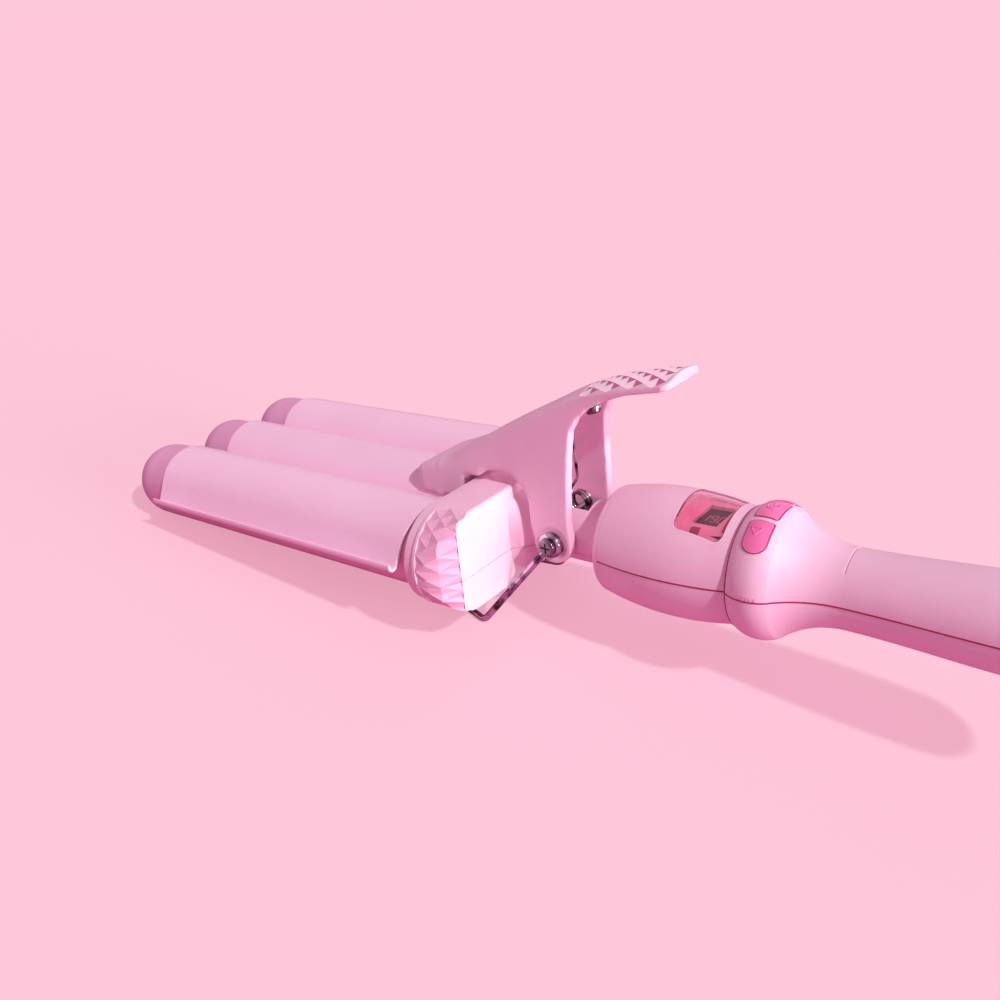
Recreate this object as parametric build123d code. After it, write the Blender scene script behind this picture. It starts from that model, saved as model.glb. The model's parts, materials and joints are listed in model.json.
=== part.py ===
from build123d import *
from math import acos, asin, atan2, cos, degrees, hypot, radians, sin, sqrt, tan
import os

# Hair waver, in millimetres.
# The pieces are drawn along the tool: X runs from the barrel tips to the handle, Y along the pivot
# and Z up, with the pivot of the clamp lever at zero. At the end everything is tilted to the pose in
# which it rests, on its barrel tips and on its wire stand, and moved over the origin.

# Barrels and tips
BARREL_RADIUS = 16.0
BARREL_WALL = 1.4
BARREL_PITCH = 36.0
BARREL_REAR = -30.4
TIP_JOINT = -184.5
TIP_BALL = -196.0
TIP_WALL = 1.8
TIP_SPIGOT = 9.0

# Heaters inside the barrels
HEATER_FRONT = -170.0
HEATER_REAR = -62.0
HEATER_WIDTH = 12.0
HEATER_HALF_THICK = 1.3
SPREADER_WALL = 1.2

# Crossbar, collar and neck
BAR_FRONT = -31.0
BAR_REAR = -17.0
BAR_HALF_HEIGHT = 19.0
BAR_HALF_WIDTH = 57.0
BAR_REAR_HALF_WIDTH = 47.5
BAR_WALL = 2.2
BAR_SEAM = -4.7
BAR_EDGE_ROUND = 1.0
COLLAR_FRONT = -35.6
COLLAR_HALF_HEIGHT = 18.3
COLLAR_HALF_WIDTH = 56.3
PAD_FRONT = -51.0
PAD_HALF_WIDTH = 26.5
PAD_TOP = -11.0
NECK_RADIUS = 11.7
NECK_REAR = 25.1
NECK_FLANGE_RADIUS = 14.2
NECK_FLANGE_FRONT = 22.9
WIRE_BORE_RADIUS = 5.5
WIRE_BORE_HEIGHT = -4.0
BAR_SCREW_X = -25.2
BAR_SCREW_Y = 35.0
PAD_SCREW_X = -45.0
SEAM_GAP = 0.2
HANDLE_SEAM_GAP = 0.45

# Pivot
AXLE_RADIUS = 2.5
AXLE_HALF_LENGTH = 16.1
SHOULDER_RADIUS = 2.12

# Clamp sheet
SHEET_THICK = 1.1
SHEET_CLEARANCE = 0.2
SHEET_FRONT = -183.0
SHEET_REAR_RADIUS = 40.6
VALLEY_REACH = 19.25
HEM_RADIUS = 1.9
HEM_Y = 56.3
HEM_Z = 0.6
HEM_END_ANGLE = 160.0

# Clamp lever
LEVER_FOOT_RADIUS = 7.8
LEVER_HALF_WIDTH_FOOT = 16.2
LEVER_HALF_WIDTH_TOP = 12.0
LEVER_WALL = 4.0
LEVER_FRONT = -68.6
LEVER_REAR = 45.3
LEVER_REAR_HEIGHT = 62.4
LEVER_TOP_ROUND = 3.2
LEVER_CORNER_ROUND = 4.0
LEVER_PLAN_HALF_WIDTH = 18.0
LEVER_PLAN_TAPER = 5.0
PAD_EDGE_DROP = 0.6
PAD_DEPTH = 2.4
PAD_HALF_WIDTH_FULL = LEVER_HALF_WIDTH_TOP - 0.04
# Sections of the crowned pad: place along the tool, height of the edge, rise to the middle, half-width
PAD_STATIONS = (
    (-10.0, 44.6, 0.0, 8.0),
    (1.0, 50.4, 0.9, 10.4),
    (13.0, 55.2, 1.6, PAD_HALF_WIDTH_FULL),
    (29.2, 59.7, 1.7, PAD_HALF_WIDTH_FULL),
    (LEVER_REAR + 0.5, LEVER_REAR_HEIGHT + 0.1, 1.7, PAD_HALF_WIDTH_FULL),
)
PIVOT_RECESS = 15.4
TONGUE_CLEARANCE = 0.05
NOSE_REAR = -55.0

# Lever spring
SPRING_WIRE = 1.1
SPRING_RADIUS = 3.9
SPRING_PITCH = 1.5
SPRING_QUARTERS = 13
SPRING_X = 2.4
SPRING_Z = 10.4
SPRING_BEND_X = 3.6
SPRING_HOOK = 9.0
SPRING_BULGE = (4.7, -4.0, 21.8)
PIN_Z = 8.4
PIN_RADIUS = 1.0
PIN_HALF_LENGTH = 6.5
POCKET_FRONT = -3.2
POCKET_REAR = 9.4
POCKET_HALF_WIDTH = 5.45
POCKET_FLOOR = 5.7
CEILING_X = 11.0
CEILING_Z = 49.65
CEILING_SLOPE = 18.7
SPRING_SCREW_Y = -2.1
SPRING_SCREW_RADIUS = 1.3

# Control head and handle, all round one axis
AXIS_Z = -0.7
HEAD_FRONT = 17.8
CAP_REAR = 20.3
HEAD_WALL = 2.2
RING_FRONT = 67.3
RING_REAR = 80.3
GRIP_FRONT = 100.0
GRIP_REAR = 180.0
GRIP_RADIUS = 13.0
GROOVE_X = 99.6
GROOVE_RADIUS = 0.35

# Display
WINDOW_FRONT = 46.6
WINDOW_REAR = 63.2
WINDOW_HALF_WIDTH = 14.9
WINDOW_ROUND = 2.5
LENS_THICK = 1.2
TRAY_FLOOR = 14.8
TRAY_SKIN = 1.15
TRAY_TUB_HALF_WIDTH = 11.4
TRAY_RIM_HALF_WIDTH = 12.0
TRAY_RIM_FLOOR = 8.5
DISPLAY_FRONT = 49.9
DISPLAY_REAR = 58.7
DISPLAY_HALF_WIDTH = 7.5
BOARD_TOP = 11.2

# Buttons
BUTTON_X = 74.4
BUTTON_HALF_WIDTH = 3.6
BUTTON_HALF_LENGTH = 5.8
BUTTON_ANGLE = 35.5
BUTTON_PROUD = 0.45
BUTTON_GAP = 0.25
BUTTON_SECTOR = 15.6
BUTTON_SECTOR_STEP = 5.1
BUTTON_SECTOR_GAP = 0.9
FLANGE_TOP = 19.3
FLANGE_BOTTOM = 18.3
SWITCH_TOP = 17.6

# Stand
STAND_WIRE = 1.3
STAND_EYE = 3.5
STAND_EYE_Y = 17.5
STAND_LEG = 43.2
STAND_LEAN = 38.8
STAND_HEEL_Y = 26.0
STAND_TOE_X = 21.0
STAND_TOE_Y = 20.0

# End cap and cord bush
CAP_END = 184.5
BUSH_END = 192.0
BUSH_RADIUS = 6.2
BUSH_BORE = 3.4


def block(x0, x1, y0, y1, z0, z1):
    """Box between two corners."""
    middle = Pos((x0 + x1) / 2, (y0 + y1) / 2, (z0 + z1) / 2)
    return middle * Box(x1 - x0, y1 - y0, z1 - z0)


def rod_x(radius, x0, x1, y=0.0, z=0.0):
    """Round bar along X."""
    bar = Cylinder(radius, x1 - x0, align=(Align.CENTER, Align.CENTER, Align.MIN))
    return Pos(x0, y, z) * Rot(0, 90, 0) * bar


def rod_y(radius, y0, y1, x=0.0, z=0.0):
    """Round bar along Y."""
    bar = Cylinder(radius, y1 - y0, align=(Align.CENTER, Align.CENTER, Align.MIN))
    return Pos(x, y0, z) * Rot(-90, 0, 0) * bar


def rod_z(radius, z0, z1, x=0.0, y=0.0):
    """Round bar along Z."""
    bar = Cylinder(radius, z1 - z0, align=(Align.CENTER, Align.CENTER, Align.MIN))
    return Pos(x, y, z0) * bar


def face_of(*curves):
    """Flat face inside a closed run of curves."""
    edges = [edge for curve in curves for edge in curve.edges()]
    return Face(Wire(edges))


def side_points(points):
    """Points of a side view, as points on the plane of symmetry."""
    return [(x, 0, z) for x, z in points]


def side_slab(points, half_width):
    """Side-view polygon, spread evenly to both sides of the plane of symmetry."""
    face = face_of(Polyline(*side_points(points), close=True))
    return extrude(face, amount=half_width, dir=(0, 1, 0), both=True)


def slot_bar(half_width, half_height, x0, x1):
    """Flat bar across the tool with half-round ends, between two planes."""
    outline = Plane.YZ.offset(x0) * SlotOverall(2 * half_width, 2 * half_height)
    return extrude(outline, amount=x1 - x0)


def barrel_places():
    """Name and sideways place of each barrel."""
    return (("near", -BARREL_PITCH), ("middle", 0.0), ("far", BARREL_PITCH))


def make_barrel(y):
    tube = rod_x(BARREL_RADIUS, TIP_JOINT, BARREL_REAR, y)
    tube -= rod_x(BARREL_RADIUS - BARREL_WALL, TIP_JOINT - 1, BARREL_REAR + 1, y)
    if y == 0:
        tube -= rod_z(1.3, -BARREL_RADIUS - 1, -10, PAD_SCREW_X, 0)
    return tube


def make_tip(y):
    """Hollow cap with a ball end and a spigot that fits the barrel."""
    spigot = BARREL_RADIUS - BARREL_WALL - 0.05
    rear = TIP_JOINT + TIP_SPIGOT
    inner_ball = BARREL_RADIUS - TIP_WALL
    bore = spigot - TIP_WALL
    inner_front = TIP_BALL + sqrt(inner_ball**2 - bore**2)
    half = sqrt(0.5)
    face = face_of(
        ThreePointArc(
            (TIP_BALL - BARREL_RADIUS, 0, 0),
            (TIP_BALL - half * BARREL_RADIUS, 0, half * BARREL_RADIUS),
            (TIP_BALL, 0, BARREL_RADIUS),
        ),
        Polyline(
            (TIP_BALL, 0, BARREL_RADIUS),
            (TIP_JOINT, 0, BARREL_RADIUS),
            (TIP_JOINT, 0, spigot),
            (rear, 0, spigot),
            (rear, 0, bore),
            (inner_front, 0, bore),
        ),
        ThreePointArc(
            (inner_front, 0, bore),
            (TIP_BALL - half * inner_ball, 0, half * inner_ball),
            (TIP_BALL - inner_ball, 0, 0),
        ),
        Line((TIP_BALL - inner_ball, 0, 0), (TIP_BALL - BARREL_RADIUS, 0, 0)),
    )
    return Pos(0, y, 0) * revolve(face, axis=Axis.X)


def make_heater(y):
    half = HEATER_WIDTH / 2
    return block(HEATER_FRONT, HEATER_REAR, y - half, y + half, -HEATER_HALF_THICK, HEATER_HALF_THICK)


def make_spreaders(y):
    """Two half-round extrusions that clamp the heater and fill the barrel."""
    radius = BARREL_RADIUS - BARREL_WALL - 0.1
    x0 = HEATER_FRONT - 2
    x1 = HEATER_REAR + 2
    full = rod_x(radius, x0, x1, y)
    hollow = rod_x(radius - SPREADER_WALL, x0 - 1, x1 + 1, y)
    floor = HEATER_HALF_THICK + SPREADER_WALL
    hollow &= block(x0 - 1, x1 + 1, y - radius, y + radius, floor, radius)
    upper = full & block(x0, x1, y - radius, y + radius, HEATER_HALF_THICK, radius)
    upper -= hollow
    lower = mirror(upper, about=Plane.XY)
    return Compound(children=[upper.solid(), lower.solid()])


def bar_plan(half_width, rear_half_width, front, rear):
    """Crossbar seen from above: straight front and rear, bowed ends."""
    bow_x = front + 0.68 * (rear - front)
    bow_y = half_width - 0.27 * (half_width - rear_half_width)
    face = face_of(
        ThreePointArc((front, half_width, 0), (bow_x, bow_y, 0), (rear, rear_half_width, 0)),
        Line((rear, rear_half_width, 0), (rear, -rear_half_width, 0)),
        ThreePointArc((rear, -rear_half_width, 0), (bow_x, -bow_y, 0), (front, -half_width, 0)),
        Line((front, -half_width, 0), (front, half_width, 0)),
    )
    return extrude(face, amount=2 * BAR_HALF_HEIGHT, dir=(0, 0, 1), both=True)


def make_crossbar():
    """Whole crossbar with its shoulder and neck, hollow, before it is parted at its seam."""
    shell = slot_bar(BAR_HALF_WIDTH, BAR_HALF_HEIGHT, BAR_FRONT, BAR_REAR)
    shell &= bar_plan(BAR_HALF_WIDTH, BAR_REAR_HALF_WIDTH, BAR_FRONT, BAR_REAR)
    rear_face = shell.faces().sort_by(Axis.X)[-1]
    shell = fillet(rear_face.edges(), BAR_EDGE_ROUND)
    root = Plane.YZ.offset(BAR_REAR - 1.5) * RectangleRounded(40, 33, 9)
    end = Plane.YZ.offset(-10.0) * Circle(NECK_RADIUS)
    shell += loft([root, end])
    shell += rod_x(NECK_RADIUS, -11, NECK_REAR)
    shell += rod_x(NECK_FLANGE_RADIUS, NECK_FLANGE_FRONT, NECK_REAR)
    inner_front = BAR_FRONT - 1
    inner_rear = BAR_REAR - BAR_WALL
    hollow = slot_bar(BAR_HALF_WIDTH - BAR_WALL, BAR_HALF_HEIGHT - BAR_WALL, inner_front, inner_rear)
    inner_half_width = BAR_HALF_WIDTH - BAR_WALL
    hollow &= bar_plan(inner_half_width, BAR_REAR_HALF_WIDTH - 1, inner_front, inner_rear)
    for side in (-1, 1):
        hollow -= rod_z(4.0, -BAR_HALF_HEIGHT, BAR_HALF_HEIGHT, BAR_SCREW_X, side * BAR_SCREW_Y)
    shell -= hollow
    shell -= rod_x(WIRE_BORE_RADIUS, inner_rear - 1, NECK_REAR + 1, 0, WIRE_BORE_HEIGHT)
    for side in (-1, 1):
        y = side * BAR_SCREW_Y
        shell -= rod_z(3.3, -BAR_HALF_HEIGHT - 1, -9, BAR_SCREW_X, y)
        shell -= rod_z(1.55, -10, 10, BAR_SCREW_X, y)
    shell -= rod_y(AXLE_RADIUS + 0.02, -NECK_RADIUS - 1, NECK_RADIUS + 1)
    half_width = POCKET_HALF_WIDTH
    shell -= block(POCKET_FRONT, POCKET_REAR, -half_width, half_width, POCKET_FLOOR, NECK_RADIUS + 1)
    hole_half_length = PIN_HALF_LENGTH + 0.1
    shell -= rod_y(PIN_RADIUS + 0.02, -hole_half_length, hole_half_length, SPRING_X, PIN_Z)
    return shell


def half_space(above, z, gap):
    """Very large box above or below a seam."""
    reach = 400.0
    if above:
        return block(-reach, reach, -reach, reach, z + gap / 2, z + reach)
    return block(-reach, reach, -reach, reach, z - reach, z - gap / 2)


def make_collar():
    """Front of the crossbar, with a spigot behind it and a pad under the middle barrel."""
    rear = BAR_FRONT - 0.3
    collar = slot_bar(COLLAR_HALF_WIDTH, COLLAR_HALF_HEIGHT, COLLAR_FRONT, rear)
    front_edges = collar.faces().sort_by(Axis.X)[0].edges()
    collar = fillet(front_edges, 0.8)
    spigot_half_width = BAR_HALF_WIDTH - BAR_WALL - 0.2
    spigot_half_height = BAR_HALF_HEIGHT - BAR_WALL - 0.2
    collar += slot_bar(spigot_half_width, spigot_half_height, rear - 1, BAR_FRONT + 0.6)
    pad = block(PAD_FRONT, rear, -PAD_HALF_WIDTH, PAD_HALF_WIDTH, -BAR_HALF_HEIGHT, PAD_TOP)
    pad_corners = pad.edges().filter_by(Axis.Z).group_by(Axis.X)[0]
    collar += fillet(pad_corners, 6.0)
    for _, y in barrel_places():
        collar -= rod_x(BARREL_RADIUS + 0.05, PAD_FRONT - 1, BAR_FRONT + 1, y)
    collar -= rod_z(3.0, -BAR_HALF_HEIGHT - 1, -17.3, PAD_SCREW_X)
    collar -= rod_z(1.3, -18, -10, PAD_SCREW_X)
    return collar


def make_bracket():
    """Thin steel plate behind the barrels, with a hole for each barrel's leads."""
    plate = slot_bar(50, 13, BAR_FRONT + 0.7, BAR_FRONT + 1.7)
    for _, y in barrel_places():
        plate -= rod_x(6.0, BAR_FRONT, BAR_FRONT + 3, y)
    return plate


def sunk_screw(head_radius, head_height, shank_radius, length):
    """Screw whose head faces down, with its head's face at zero, and a cross slot."""
    screw = rod_z(head_radius, 0, head_height)
    screw += rod_z(shank_radius, head_height - 0.2, length)
    slot = head_radius * 1.1
    screw -= block(-slot / 2, slot / 2, -0.35, 0.35, -1, head_height * 0.55)
    screw -= block(-0.35, 0.35, -slot / 2, slot / 2, -1, head_height * 0.55)
    return screw


def make_crossbar_screws():
    screws = [
        Pos(BAR_SCREW_X, side * BAR_SCREW_Y, -11.1) * sunk_screw(2.8, 2.0, 1.45, 19.0)
        for side in (-1, 1)
    ]
    return Compound(children=[screw.solid() for screw in screws])


def make_axle():
    axle = rod_y(AXLE_RADIUS, -AXLE_HALF_LENGTH, AXLE_HALF_LENGTH)
    for side in (-1, 1):
        end = side * AXLE_HALF_LENGTH
        low = min(end, end - side * 8)
        axle -= rod_y(1.5, low - 0.1, low + 8.1)
    return axle


def pivot_screw(side):
    """Pan-head screw with a shoulder that the stand's eye turns on."""
    screw = rod_y(1.45, 9.5, 17)
    screw += rod_y(SHOULDER_RADIUS, AXLE_HALF_LENGTH + 0.05, 18.95)
    head = rod_y(3.3, 18.9, 20.5)
    head_edge = head.faces().sort_by(Axis.Y)[-1].edges()
    screw += fillet(head_edge, 0.9)
    screw -= block(-2.0, 2.0, 19.6, 21, -0.35, 0.35)
    screw -= block(-0.35, 0.35, 19.6, 21, -2.0, 2.0)
    return screw if side > 0 else mirror(screw, about=Plane.XZ)


def make_pivot_screws():
    return Compound(children=[pivot_screw(side).solid() for side in (-1, 1)])


def make_pivot_washers():
    washer = rod_y(4.7, PIVOT_RECESS + 0.05, PIVOT_RECESS + 0.65)
    washer -= rod_y(AXLE_RADIUS + 0.06, 14, 18)
    other = mirror(washer, about=Plane.XZ)
    return Compound(children=[washer.solid(), other.solid()])


def section_point(y, z, radius, angle):
    """Point of the sheet's section on an arc round (y, z)."""
    turn = radians(angle)
    return (0, y + radius * cos(turn), z + radius * sin(turn))


def section_arc(y, z, radius, start, end):
    middle = (start + end) / 2
    return ThreePointArc(
        section_point(y, z, radius, start),
        section_point(y, z, radius, middle),
        section_point(y, z, radius, end),
    )


def sheet_side(offset):
    """One face of the sheet's section, from the near hem to the far hem, by its offset from the middle."""
    arch = BARREL_RADIUS + SHEET_CLEARANCE + SHEET_THICK / 2
    valley_z = sqrt(VALLEY_REACH**2 - (BARREL_PITCH / 2) ** 2)
    valley_turn = degrees(atan2(valley_z, BARREL_PITCH / 2))
    valley = VALLEY_REACH - arch
    hem_reach = hypot(HEM_Y - BARREL_PITCH, HEM_Z)
    hem_lean = degrees(atan2(HEM_Z, HEM_Y - BARREL_PITCH))
    hem_turn = degrees(acos((arch + HEM_RADIUS) / hem_reach)) + hem_lean
    outer = arch + offset
    hollow = valley - offset
    hem = HEM_RADIUS - offset
    far_end = 180 - HEM_END_ANGLE
    near_hem = section_arc(-HEM_Y, HEM_Z, hem, HEM_END_ANGLE, 360 - hem_turn)
    near_arch = section_arc(-BARREL_PITCH, 0, outer, 180 - hem_turn, valley_turn)
    far_arch = section_arc(BARREL_PITCH, 0, outer, 180 - valley_turn, hem_turn)
    far_hem = section_arc(HEM_Y, HEM_Z, hem, 180 + hem_turn, 360 + far_end)
    middle_arch = section_arc(0, 0, outer, 180 - valley_turn, valley_turn)
    half_pitch = BARREL_PITCH / 2
    near_valley = section_arc(-half_pitch, valley_z, hollow, 180 + valley_turn, 360 - valley_turn)
    far_valley = section_arc(half_pitch, valley_z, hollow, 180 + valley_turn, 360 - valley_turn)
    near_wall = Line(near_hem @ 1, near_arch @ 0)
    far_wall = Line(far_arch @ 1, far_hem @ 0)
    return [
        near_hem,
        near_wall,
        near_arch,
        near_valley,
        middle_arch,
        far_valley,
        far_arch,
        far_wall,
        far_hem,
    ]


def make_sheet():
    top = sheet_side(SHEET_THICK / 2)
    under = sheet_side(-SHEET_THICK / 2)
    near_lip = Line(top[0] @ 0, under[0] @ 0)
    far_lip = Line(top[-1] @ 1, under[-1] @ 1)
    section = face_of(*top, *under, near_lip, far_lip)
    sheet = Pos(SHEET_FRONT, 0, 0) * extrude(section, amount=-SHEET_FRONT - 20, dir=(1, 0, 0))
    sheet -= rod_y(SHEET_REAR_RADIUS, -80, 80)
    for x in (-60, -50):
        sheet -= rivet_space(x, 0.03)
    return sheet


def rivet_space(x, gap):
    """Space of one rivet: a flat head in the sheet and a shank up into the tongue."""
    low = BARREL_RADIUS + SHEET_CLEARANCE + 0.12
    head = rod_z(2.2 + gap, low - 3 * gap, low + 0.5 + gap, x)
    return head + rod_z(1.2 + gap, low, 19.2 + gap, x)


def make_rivets():
    return Compound(children=[rivet_space(x, 0).solid() for x in (-60, -50)])


def lever_width_slab(inset, grow):
    """The lever seen from the front: wide at its feet, narrow at the thumb pad."""
    foot = LEVER_HALF_WIDTH_FOOT - inset
    top = LEVER_HALF_WIDTH_TOP - inset
    half = [(foot, -12 - grow), (foot, 0), (foot - 0.9, 22), (top + 1.4, 44), (top, 55), (top, 68)]
    points = [(0, y, z) for y, z in half] + [(0, -y, z) for y, z in reversed(half)]
    face = face_of(Polyline(*points, close=True))
    return Pos(-90, 0, 0) * extrude(face, amount=180, dir=(1, 0, 0))


def lever_block():
    """Lever without its hollow: everything under its back, rounded along its upper edges."""
    back = [(-68.6, 15.0), (-61.4, 20.1), (-48.5, 25.0), (-35.8, 31.8), (-18.9, 40.8), (-3.2, 48.6)]
    back += [(4.1, 52.0), (15, 55.9), (29.2, 59.7), (LEVER_REAR, LEVER_REAR_HEIGHT)]
    top = Spline(*side_points(back))
    front_low = (LEVER_FRONT, 0, -12)
    rear_low = (LEVER_REAR, 0, -12)
    face = face_of(
        top,
        Line(top @ 1, rear_low),
        Line(rear_low, front_low),
        Line(front_low, top @ 0),
    )
    solid = extrude(face, amount=20, dir=(0, 1, 0), both=True)
    solid &= lever_width_slab(0, 1)
    upper = [edge for edge in solid.edges() if edge.center().Z > 17 and edge.length > 30]
    solid = fillet([edge for edge in upper if abs(edge.center().Y) > 5], LEVER_TOP_ROUND)
    solid += pad_crown() & lever_width_slab(0, 1)
    return solid & extrude(lever_plan(), amount=80, dir=(0, 0, 1), both=True)


def lever_plan():
    """The lever seen from above: an arc at its nose, rounded corners behind the thumb pad."""
    corner_x = LEVER_REAR - LEVER_CORNER_ROUND
    corner_y = LEVER_HALF_WIDTH_TOP - LEVER_CORNER_ROUND
    reach = LEVER_CORNER_ROUND * sin(radians(45))
    curves = []
    for side in (1, -1):
        flank = Polyline(
            (NOSE_REAR, side * LEVER_PLAN_HALF_WIDTH, 0),
            (corner_x - LEVER_PLAN_TAPER, side * LEVER_PLAN_HALF_WIDTH, 0),
            (corner_x, side * LEVER_HALF_WIDTH_TOP, 0),
        )
        corner = ThreePointArc(
            flank @ 1,
            (corner_x + reach, side * (corner_y + reach), 0),
            (LEVER_REAR, side * corner_y, 0),
        )
        curves += [flank, corner]
    near_flank, near_corner = curves[2:]
    rear = Line(curves[1] @ 1, near_corner @ 1)
    nose = ThreePointArc(near_flank @ 0, (LEVER_FRONT, 0, 0), curves[0] @ 0)
    return face_of(*curves, rear, nose)


def pad_crown():
    """Crowned top of the thumb pad, which runs out forwards into the lever's back."""
    faces = []
    for x, edge_z, rise, half_width in PAD_STATIONS:
        low = (x, -half_width, edge_z - PAD_EDGE_DROP)
        high = (x, half_width, edge_z - PAD_EDGE_DROP)
        top = ThreePointArc(low, (x, 0, edge_z + rise), high)
        floor = edge_z - PAD_DEPTH
        sides = Polyline(high, (x, half_width, floor), (x, -half_width, floor), low)
        faces.append(face_of(top, sides))
    return loft(faces)


def lever_underside():
    """Everything under the lever that is air: in front of its legs, between pad and legs, below."""
    front = [(-90, 10.0), (-44.5, 10.0), (-41.2, 12.4), (-38.0, 19.9), (-31.6, 19.9), (-30.0, 21.6)]
    front += [(-26.6, 23.2), (-21.6, 23.3), (-17.4, 22.5), (-13.8, 20.3), (-11.2, 17.0), (-10.1, 13.6)]
    front += [(-9.7, 8.0), (-8.3, 2.4), (-LEVER_FOOT_RADIUS, 0), (-90, 0)]
    rear = [(LEVER_FOOT_RADIUS, 0), (6.9, 8.0), (7.3, 20.0), (7.9, 34.0), (8.7, 42.0), (11.3, 47.0), (15.2, 50.7)]
    rear += [(22.0, 54.3), (30.0, 57.1), (45.0, 59.9), (60, 62.9), (60, 0)]
    below = side_slab([(-90, 0), (60, 0), (60, -30), (-90, -30)], 22)
    below -= rod_y(LEVER_FOOT_RADIUS, -25, 25)
    return side_slab(front, 22) + side_slab(rear, 22) + below


def make_lever():
    """Saddle with a tongue over the middle arch, two legs and a thumb pad."""
    lever = lever_block() - lever_underside()
    ceiling = [(-33.5, -20), (-33.5, 27.6), (-18.5, 35.8), (-3.0, 44.0), (4.1, 47.3), (15.0, 51.0)]
    ceiling += [(30.0, 54.0), (30.0, -20)]
    hollow = side_slab(ceiling, 22) & lever_width_slab(LEVER_WALL, 10)
    lever -= hollow
    arch = BARREL_RADIUS + SHEET_CLEARANCE + SHEET_THICK + TONGUE_CLEARANCE
    lever -= rod_x(arch, -80, -30)
    for side in (-1, 1):
        low = PIVOT_RECESS if side > 0 else -PIVOT_RECESS - 4
        lever -= rod_y(5.8, low, low + 4)
    lever -= rod_y(AXLE_RADIUS + 0.06, -25, 25)
    for x in (-60, -50):
        lever -= rivet_space(x, 0.04)
    lever -= ceiling_place(SPRING_SCREW_Y) * rod_z(1.35, -1, 3.2)
    return lever


def ceiling_place(y):
    """Place on the lever's ceiling where the spring is held, with Z into the ceiling."""
    return Pos(CEILING_X, y, CEILING_Z) * Rot(0, -CEILING_SLOPE, 0)


def make_spring_screw():
    """Screw that holds the spring's arm under the thumb pad."""
    screw = rod_z(SPRING_SCREW_RADIUS, -2.2, 3.0)
    head = rod_z(2.6, -3.7, -2.15)
    head_edge = head.faces().sort_by(Axis.Z)[0].edges()
    screw += fillet(head_edge, 0.8)
    return ceiling_place(SPRING_SCREW_Y) * screw


def make_spring_washer():
    washer = rod_z(3.3, -2.1, -1.35)
    washer -= rod_z(1.4, -3, 0)
    return ceiling_place(SPRING_SCREW_Y) * washer


def biarc(start, start_way, end, end_way):
    """Two arcs in space that leave one point and reach another along the given directions."""
    reach = end - start
    both = start_way + end_way
    a = both.dot(both) - 4
    b = -2 * reach.dot(both)
    c = reach.dot(reach)
    step = (-b - sqrt(b * b - 4 * a * c)) / (2 * a)
    if step < 0:
        step = (-b + sqrt(b * b - 4 * a * c)) / (2 * a)
    corner_one = start + start_way * step
    corner_two = end - end_way * step
    joint = (corner_one + corner_two) * 0.5
    return [corner_arc(start, corner_one, joint), corner_arc(joint, corner_two, end)]


def corner_arc(start, corner, end):
    """Arc that touches both sides of a corner of equal sides."""
    chord_middle = (start + end) * 0.5
    half_chord = (end - start).length / 2
    side = (corner - start).length
    turn = 2 * acos(half_chord / side)
    rise = half_chord * tan(turn / 4)
    top = chord_middle + (corner - chord_middle).normalized() * rise
    return ThreePointArc(start, top, end)


def coil_point(quarter):
    """Middle of the spring's wire after some quarter turns, which start at the coil's front."""
    turn = radians(90 * quarter)
    low = -SPRING_QUARTERS * SPRING_PITCH / 8
    x = SPRING_X - SPRING_RADIUS * cos(turn)
    z = SPRING_Z - SPRING_RADIUS * sin(turn)
    return Vector(x, low + quarter * SPRING_PITCH / 4, z)


def coil_way(quarter):
    """Direction of the wire there."""
    turn = radians(90 * quarter)
    climb = SPRING_PITCH / radians(360)
    return Vector(SPRING_RADIUS * sin(turn), climb, -SPRING_RADIUS * cos(turn)).normalized()


def coil_quarter(quarter):
    """Two arcs of the coil's next quarter turn."""
    start = coil_point(quarter)
    end = coil_point(quarter + 1)
    return biarc(start, coil_way(quarter), end, coil_way(quarter + 1))


def spring_path():
    """Hook under the lever, arm, coil and short lower arm, as arcs and straight runs."""
    first = coil_point(0)
    up = -coil_way(0)
    arm_y = SPRING_SCREW_Y - SPRING_SCREW_RADIUS - SPRING_WIRE / 2 - 0.25
    knee = first + up * 3.2
    slope = radians(CEILING_SLOPE)
    below = (SPRING_WIRE / 2 + 0.13) / cos(slope)
    bend = Vector(SPRING_BEND_X, arm_y, CEILING_Z + (SPRING_BEND_X - CEILING_X) * tan(slope) - below)
    tip = bend + Vector(cos(slope), 0, sin(slope)) * SPRING_HOOK
    arm = FilletPolyline(first, knee, Vector(*SPRING_BULGE), bend, tip, radius=[2.5, 4.0, 1.6])
    last = coil_point(SPRING_QUARTERS)
    tail = Line(last, last + coil_way(SPRING_QUARTERS) * 4.0)
    coil = [arc for quarter in range(SPRING_QUARTERS) for arc in coil_quarter(quarter)]
    return [edge for curve in [arm, *coil, tail] for edge in curve.edges()]


def coil_gap():
    """Least gap between the coil's own turns, measured on points along its middle."""
    steps = 16
    points = []
    for quarter in range(SPRING_QUARTERS):
        points += [arc @ (step / steps) for arc in coil_quarter(quarter) for step in range(steps)]
    per_half_turn = 4 * steps
    least = min(
        (points[j] - points[i]).length
        for i in range(0, len(points), 4)
        for j in range(i + per_half_turn, len(points), 2)
    )
    return least - SPRING_WIRE


def make_spring():
    path = Wire(spring_path())
    section = Plane(origin=path @ 0, z_dir=path % 0) * Circle(SPRING_WIRE / 2)
    spring = sweep(section, path=path)
    print("least gap between the spring's turns", round(coil_gap(), 3), "mm")
    return spring


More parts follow.
